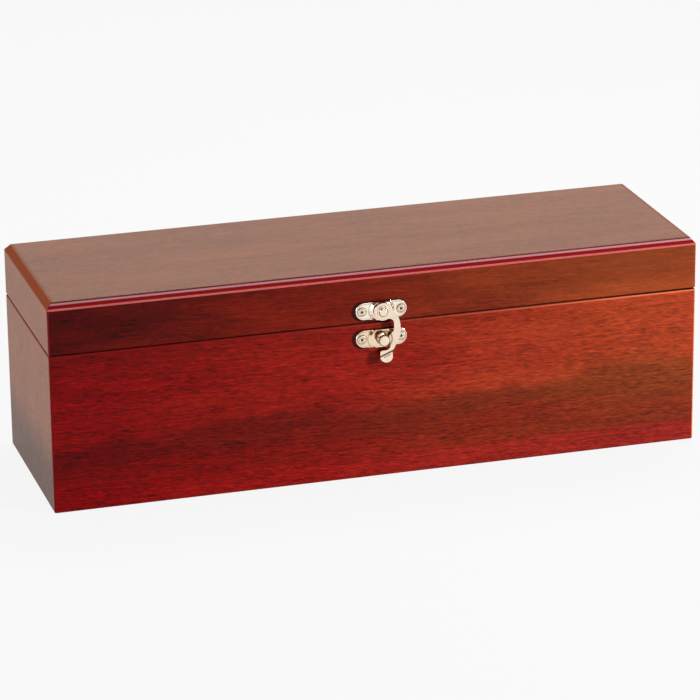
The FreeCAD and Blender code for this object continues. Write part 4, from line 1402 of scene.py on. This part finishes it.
@dataclass
class Catch:
    """The swing-hook catch on the front."""

    # the hook's sides take painted shade, the ring round the stud is a painted shadow, and the two
    # lines on the tab are painted reflections
    hook_brass: Brass = Brass("hook_gilt", colour=(0.960, 0.800, 0.640), depth=-58.05 * MM, rings=(
        Ring(CATCH_X, STUD_LEVEL, radius=4.8 * MM, width=0.9 * MM, weight=0.7),
        Ring(0.9 * MM, 72.4 * MM, radius=0.0, width=0.7 * MM, span=1.6 * MM, weight=0.75,
             slope=0.42),
        Ring(2.6 * MM, 68.9 * MM, radius=0.0, width=0.8 * MM, span=1.6 * MM, weight=0.6,
             slope=0.42)))
    # the rivet's sides and the ring round its button are painted shade
    rivet_brass: Brass = Brass("rivet_gilt", depth=-59.0 * MM, rings=(
        Ring(CATCH_X, HOOK_LEVEL, radius=2.35 * MM, width=0.6 * MM, weight=0.75),))
    # the stud's sides are painted shade and the ring round its head a painted shadow
    stud_brass: Brass = Brass("stud_gilt", depth=-60.8 * MM, reach=-58.8 * MM, rings=(
        Ring(CATCH_X, STUD_LEVEL, radius=2.95 * MM, width=0.8 * MM, weight=0.9),))
    hook: SwingHook = SwingHook()
    # the two plates are the same brass: the upper one's paler gilt is painted light and the lower
    # one's tanner gilt painted shade
    upper: CatchPlate = CatchPlate(
        "hook_plate", Body.LID, HOOK_LEVEL, swell_radius=6.7 * MM, swell_height=2.6 * MM,
        swell_slope=38.0, collar=4.6 * MM, turns=(18.0, 40.0), gilt=(1.0, 0.925, 0.800))
    lower: CatchPlate = CatchPlate(
        "catch_plate", Body.BASE, STUD_LEVEL, swell_radius=7.4 * MM, swell_height=1.9 * MM,
        swell_slope=60.0, collar=3.2 * MM, turns=(45.0, 8.0), gilt=(0.965, 0.755, 0.545))

    def build(self) -> None:
        """Build the plates, the hook, the rivet and the stud."""
        self.upper.build()
        self.lower.build()
        self.hook.build(self.hook_brass)
        seat(self.post("rivet_head", self.upper, self.rivet()), self.rivet_brass, Body.LID,
             Slot.CATCH, "hook_rivet")
        seat(self.post("mushroom_stud", self.lower, self.stud()), self.stud_brass, Body.BASE,
             Slot.CATCH, "catch_stud")

    def post(self, name: str, plate: CatchPlate, profile: np.ndarray) -> bpy.types.Object:
        """Turn a post that stands on a plate's middle, from a profile of radius and height."""
        rings = turned(profile, (plate.x, plate.front, plate.level), FRONT_AXES)
        return Shells().add(rings).build(name, 50.0)

    def rivet(self) -> np.ndarray:
        """Give the rivet's profile: a shank, a flat head and a raised button in its middle.

        Returns:
            Radius and height of its points.
        """
        corners = np.array([(0.0, 1.2), (1.8, 1.2), (1.8, 4.3), (3.2, 4.3), (3.2, 4.7),
                            (2.35, 4.72), (1.95, 5.5), (0.0, 5.5)]) * MM
        return rounded(corners, np.array([0, 0, 0, 0.15, 0.2, 0.25, 0.5, 0]) * MM, 6)

    def stud(self) -> np.ndarray:
        """Give the stud's profile: a flared foot, a waist and a mushroom head.

        Returns:
            Radius and height of its points.
        """
        corners = np.array([(0.0, 1.0), (3.1, 1.0), (3.1, 1.9), (1.9, 2.7), (1.9, 4.2),
                            (3.05, 4.8), (3.05, 6.7), (0.0, 6.7)]) * MM
        return rounded(corners, np.array([0, 0, 0.2, 0.4, 0.3, 0.15, 0.45, 0]) * MM, 6)


@dataclass
class Hinges:
    """The two butt hinges at the back."""

    brass: Brass = Brass("hinge_gilt", colour=(0.90, 0.74, 0.50), polish=0.2)
    places: tuple[float, float] = (-102.5 * MM, 102.5 * MM)
    turns: tuple[tuple[float, float], ...] = ((3.0, 37.0), (34.0, 68.0))
    screw_spread: float = 18.0 * MM
    screw_line: float = 51.0 * MM
    screw: CrossScrew = CrossScrew(radius=1.88 * MM, rise=-0.03 * MM, sunk=0.10 * MM,
                                   rim=0.08 * MM, dish=0.02 * MM, arm=0.95 * MM, slot=0.28 * MM)

    def build(self) -> None:
        """Dress the leaves and pins and build the screws."""
        for hand in ("left", "right"):
            for part in ("lower_leaf", "upper_leaf", "pin"):
                dress(f"hinge_{hand}_{part}", self.brass)
        for node, body, level, axes in (
                ("hinge_base_screws", Body.BASE, BASE_TOP, UP_AXES),
                ("hinge_lid_screws", Body.LID, LID_FOOT, DOWN_AXES)):
            heads = Shells()
            for x, turns in zip(self.places, self.turns):
                for sign, turn in zip((-1, 1), turns):
                    place = (x + sign * self.screw_spread / 2, self.screw_line, level)
                    heads.add(self.screw.head(place, axes, turn))
            seat(heads.build(node + "_heads", 38.0), self.brass, body, Slot.HINGE, node)


# -------------------------------------------------------------------------- the velvet

@dataclass
class LidPad:
    """The thin padded lining under the lid's top.

    pull is how far its sides draw in and crown the share by which it thins to the rim. The
    powers say how suddenly: a high one keeps a face flat up to its border.
    """

    length: float = 333.0 * MM
    depth: float = 87.0 * MM
    ceiling: float = 109.0 * MM
    thickness: float = 4.0 * MM
    pull: float = 0.9 * MM
    pull_power: int = 8
    rim_powers: tuple[int, int] = (60, 24)
    crown: float = 0.34
    crown_power: int = 4
    cells: tuple[int, int] = (200, 56)

    def build(self, finish: Velvet) -> None:
        """Build a crowned cushion whose sides pull in between its corners.

        Both faces are one grid of u and v from -1 to 1. The sides pull in with the square
        of the distance from a corner. The thickness falls to nothing at the rim as the root
        of one minus a high power of u and of v, and from the middle to the rim it thins by a
        third.

        Args:
            finish: what the pad is covered with.
        """
        u, v = np.meshgrid(*(np.sin(np.linspace(-1.0, 1.0, n) * np.pi / 2) for n in self.cells),
                           indexing="ij")
        x = u * (self.length / 2 - self.pull * (1 - v ** 2) * np.abs(u) ** self.pull_power)
        y = v * (self.depth / 2 - self.pull * (1 - u ** 2) * np.abs(v) ** self.pull_power)
        along, across = self.rim_powers
        rim = np.sqrt(np.clip((1 - u ** along) * (1 - v ** across), 0.0, 1.0))
        bulge = (1 - u ** self.crown_power) * (1 - v ** self.crown_power)
        sunk = self.thickness * rim * (1 - self.crown * (1 - bulge))
        faces = np.stack([np.stack((x, y, np.full_like(x, self.ceiling)), axis=-1),
                          np.stack((x, y, self.ceiling - sunk), axis=-1)])
        rows, columns = u.shape
        grid = np.arange(rows * columns).reshape(rows, columns)
        quads = np.stack((grid[:-1, :-1], grid[1:, :-1], grid[1:, 1:], grid[:-1, 1:]), axis=-1)
        upper = quads.reshape(-1, 4)
        lower = upper[:, ::-1] + rows * columns
        shells = Shells()
        shells.points = [faces.reshape(-1, 3)]
        shells.faces = np.concatenate((upper, lower)).tolist()
        pad = shells.build("lid_velvet_pad", 80.0)
        seat(pad, finish, Body.LID, Slot.PAD, "lid_top_pad")


@dataclass
class BottleRest:
    """A velvet-covered rest, shaped across the box and rounded along it."""

    name: str
    middle: float
    shape: np.ndarray
    rounds: np.ndarray
    width: float = 28.0 * MM
    soft: float = 2.2 * MM

    def build(self, finish: Velvet) -> None:
        """Build the rest from rings along X.

        The outline shrinks by the soft edge times one minus the cosine as the ring moves
        out to the face by the soft edge times the sine. A point shrinks along the mean
        normal of the outline's two sides next to it.

        Args:
            finish: what the rest is covered with.
        """
        outline = rounded(self.shape, self.rounds, 10)
        sides = np.roll(outline, -1, axis=0) - np.roll(outline, 1, axis=0)
        inward = np.column_stack((-sides[:, 1], sides[:, 0]))
        inward /= np.linalg.norm(inward, axis=1, keepdims=True)
        swing = np.linspace(-np.pi / 2, np.pi / 2, 15)
        shrink = self.soft * (1 - np.cos(swing))
        x = self.middle + np.sign(swing) * (self.width / 2 - self.soft) + self.soft * np.sin(swing)
        flat = outline + inward * shrink[:, None, None]
        rings = np.concatenate((np.broadcast_to(x[:, None, None], (*flat.shape[:2], 1)), flat),
                               axis=-1)
        rest = Shells().add(rings).build(self.name + "_velvet", 60.0)
        seat(rest, finish, Body.BASE, Slot.REST, self.name)


@dataclass
class Lining:
    """The velvet in the base and the lid, with the pad and the bottle rests."""

    velvet: Velvet = Velvet("lining_velvet")
    edge: float = 0.7 * MM
    floor: float = 7.0 * MM
    half: float = 43.5 * MM
    axis: float = 51.5 * MM
    body_place: float = -84.0 * MM
    body_radius: float = 39.5 * MM
    body_top: float = 38.0 * MM
    body_round: float = 2.0 * MM
    neck_place: float = 104.0 * MM
    neck_radius: float = 16.0 * MM
    neck_top: float = 57.5 * MM
    neck_round: float = 2.5 * MM

    def build(self) -> None:
        """Dress the wall and floor linings and build the pad and the rests."""
        for part in ("base", "lid"):
            for side in ("front", "back", "left", "right"):
                dress(f"{part}_{side}_lining", self.velvet, self.edge)
        dress("base_floor_lining", self.velvet)
        LidPad().build(self.velvet)
        BottleRest("body_rest", self.body_place, *self.cradle()).build(self.velvet)
        BottleRest("neck_rest", self.neck_place, *self.fork()).build(self.velvet)

    def hollow(self, radius: float, top: float, deepest: float) -> np.ndarray:
        """Give the points of a round hollow about the bottle's axis, from right to left.

        Args:
            radius: of the hollow.
            top: the level where it ends.
            deepest: the angle from its lowest point that it never goes past.

        Returns:
            Their Y and Z, shape (n, 2).
        """
        limit = math.acos(max(min((self.axis - top) / radius, 1.0), -1.0))
        turn = np.linspace(min(limit, deepest), -min(limit, deepest), 33)
        return np.column_stack((radius * np.sin(turn), self.axis - radius * np.cos(turn)))

    def cradle(self) -> tuple[np.ndarray, np.ndarray]:
        """Give the body rest's outline.

        Returns:
            Y and Z of its corners, and the round of each.
        """
        bed = self.hollow(self.body_radius, self.body_top, math.pi)
        shape = np.concatenate(([(-self.half, self.floor), (self.half, self.floor),
                                 (self.half, self.body_top)], bed, [(-self.half, self.body_top)]))
        rounds = np.zeros(len(shape))
        rounds[[2, -1]] = self.body_round
        return shape, rounds

    def fork(self) -> tuple[np.ndarray, np.ndarray]:
        """Give the neck rest's outline.

        Returns:
            Y and Z of its corners, and the round of each.
        """
        bed = self.hollow(self.neck_radius, self.axis, math.pi / 2)
        shape = np.concatenate(([(-self.half, self.floor), (self.half, self.floor),
                                 (self.half, self.neck_top), (self.neck_radius, self.neck_top)],
                                bed, [(-self.neck_radius, self.neck_top),
                                      (-self.half, self.neck_top)]))
        rounds = np.zeros(len(shape))
        rounds[[2, 3, -2, -1]] = self.neck_round
        return shape, rounds


# ----------------------------------------------------------------------------- the studio

@dataclass(frozen=True)
class Softbox:
    """A rectangular lamp that the camera doesn't see, with its power in watts."""

    name: str
    place: tuple[float, float, float]
    aim: tuple[float, float, float]
    size: tuple[float, float]
    power: float
    colour: Colour = WHITE

    def hang(self) -> None:
        """Hang the lamp in its place, facing the point that it aims at."""
        light = bpy.data.lights.new(self.name, "AREA")
        light.shape = "RECTANGLE"
        light.size, light.size_y = self.size
        light.energy = self.power
        light.color = self.colour
        lamp = placed(self.name, light)
        lamp.location = self.place
        back = Vector(self.place) - Vector(self.aim)
        lamp.rotation_euler = back.to_track_quat("Z", "Y").to_euler()
        lamp.visible_camera = False


@dataclass
class Studio:
    """A pale floor, soft lamps and the camera.

    The floor and the world show themselves as light, apart from their part in lighting the
    box: floor_lift is the floor's share of white for the camera, floor_shine that for what
    mirrors it, fill the world's strength in lighting, and surround the brightness that
    mirrors see round X, from the front horizon over the zenith to the back.
    """

    azimuth: float = -16.265
    elevation: float = 19.383
    roll: float = -0.690
    distance: float = 2.04663
    lens: float = 194.48
    target: tuple[float, float, float] = (-0.00053, 0.0, 0.0527)
    floor_size: float = 6.0
    floor_drop: float = 0.1 * MM
    floor_colour: Colour = (0.50, 0.50, 0.50)
    floor_lift: float = 0.88
    floor_shine: float = 0.74
    gloom: Colour = (0.085, 0.032, 0.008)
    fill: float = 0.17
    surround: tuple[tuple[float, float], ...] = (
        (0.0, 0.05), (0.10, 0.05), (0.125, 0.95), (0.27, 0.95), (0.33, 0.05), (0.53, 0.05),
        (0.57, 0.8), (0.71, 0.8), (0.76, 0.25), (0.83, 0.25), (0.88, 1.0), (0.91, 1.0),
        (0.94, 0.4), (1.0, 0.4))
    softboxes: tuple[Softbox, ...] = (
        Softbox("key_softbox", (1.20, -0.95, 0.45), (0.05, -0.03, 0.08), (0.22, 0.18), 27.4,
                (1.0, 0.985, 0.96)),
        Softbox("strip_softbox", (0.42, -1.05, 1.20), (0.05, -0.03, 0.10), (1.1, 0.22), 3.5,
                (1.0, 0.97, 0.97)),
        Softbox("left_softbox", (-1.6, -0.15, 0.45), (-0.18, 0.0, 0.06), (0.8, 0.8), 14.3),
        Softbox("top_softbox", (0.35, 0.55, 1.2), (0.0, 0.0, 0.1), (1.0, 0.45), 14.2,
                (0.933, 0.935, 0.987)),
        Softbox("back_softbox", (0.45, 1.55, 0.68), (0.0, 0.0, 0.1), (1.8, 0.8), 3.0))

    def build(self) -> None:
        """Set the stage."""
        self.colours()
        self.floor()
        self.world()
        for softbox in self.softboxes:
            softbox.hang()
        self.camera()

    def colours(self) -> None:
        """Show colours as they are."""
        bpy.context.scene.view_settings.view_transform = "Standard"

    def rays(self, graph: Graph) -> tuple[Wire, Wire]:
        """Tell camera rays, and glossy or transmission rays, from the rest.

        Args:
            graph: the nodes.

        Returns:
            1 for a camera ray, and 1 for a glossy or transmission ray.
        """
        outputs = graph.node("ShaderNodeLightPath").socket.node.outputs
        mirrored = Wire(outputs["Is Glossy Ray"]).highest(Wire(outputs["Is Transmission Ray"]))
        return Wire(outputs["Is Camera Ray"]), mirrored

    def floor(self) -> None:
        """Lay a pale floor, lifted towards white for the camera."""
        half = self.floor_size / 2
        corners = [(-half, -half, 0.0), (half, -half, 0.0), (half, half, 0.0), (-half, half, 0.0)]
        mesh = bpy.data.meshes.new("floor")
        mesh.from_pydata(corners, [], [(0, 1, 2, 3)])
        floor = placed("floor", mesh)
        floor.location.z = -self.floor_drop
        material = bpy.data.materials.new("pale_floor")
        graph = Graph.emptied(material)
        matt = graph.node("ShaderNodeBsdfDiffuse", None, {"Color": self.floor_colour})
        light = graph.node("ShaderNodeEmission", None, {"Color": WHITE, "Strength": 1.0})
        camera, mirrored = self.rays(graph)
        lifted = camera * self.floor_lift + mirrored * self.floor_shine
        mixed = graph.node("ShaderNodeMixShader", None, {
            "Fac": lifted, "Shader": matt, "Shader_001": light})
        graph.node("ShaderNodeOutputMaterial", None, {"Surface": mixed})
        mesh.materials.append(material)

    def world(self) -> None:
        """Surround the box with white, with dark gaps between softboxes in what mirrors.

        A mirrored ray picks its brightness by its angle about X: from the front horizon,
        0, over the zenith, 0.5, to the back horizon, 1. The gaps are a warm dark brown.
        """
        world = bpy.data.worlds.new("studio")
        bpy.context.scene.world = world
        graph = Graph.emptied(world)
        _, y, z = graph.axes(graph.node("ShaderNodeTexCoord", output="Generated"))
        angle = z.math("ARCTAN2", z, y * -1.0).absolute() / math.pi
        tone = graph.ramp(angle, tuple(
            (place, tuple(level + (1.0 - level) * warm for warm in self.gloom))
            for place, level in self.surround))
        fill, mirror, white = (
            graph.node("ShaderNodeBackground", None, {"Color": colour, "Strength": strength})
            for colour, strength in ((WHITE, self.fill), (tone, 1.0), (WHITE, 1.0)))
        camera, mirrored = self.rays(graph)
        lit = graph.node("ShaderNodeMixShader", None, {
            "Fac": mirrored, "Shader": fill, "Shader_001": mirror})
        shown = graph.node("ShaderNodeMixShader", None, {
            "Fac": camera, "Shader": lit, "Shader_001": white})
        graph.node("ShaderNodeOutputWorld", None, {"Surface": shown})

    def camera(self) -> None:
        """Set up the camera, a long lens that looks down on the front and the left end."""
        around, up, roll = (math.radians(a) for a in (self.azimuth, self.elevation, self.roll))
        back = Vector((math.sin(around) * math.cos(up), -math.cos(around) * math.cos(up),
                       math.sin(up)))
        across = Vector((0.0, 0.0, 1.0)).cross(back).normalized()
        over = back.cross(across)
        right = across * math.cos(roll) + over * math.sin(roll)
        top = over * math.cos(roll) - across * math.sin(roll)
        data = bpy.data.cameras.new("camera")
        data.lens = self.lens
        data.sensor_width = 36.0
        data.clip_start, data.clip_end = 0.05, 50.0
        camera = placed("camera", data)
        turn = Matrix((right, top, back)).transposed()
        camera.matrix_world = Matrix.Translation(
            Vector(self.target) + back * self.distance) @ turn.to_4x4()
        bpy.context.scene.camera = camera


def main() -> None:
    """Build the box and its studio."""
    logging.basicConfig(level=logging.INFO, format="%(name)s: %(message)s")
    for assembly in (Carcass(), Catch(), Hinges(), Lining(), Studio()):
        assembly.build()


if __name__ == "__main__":
    main()
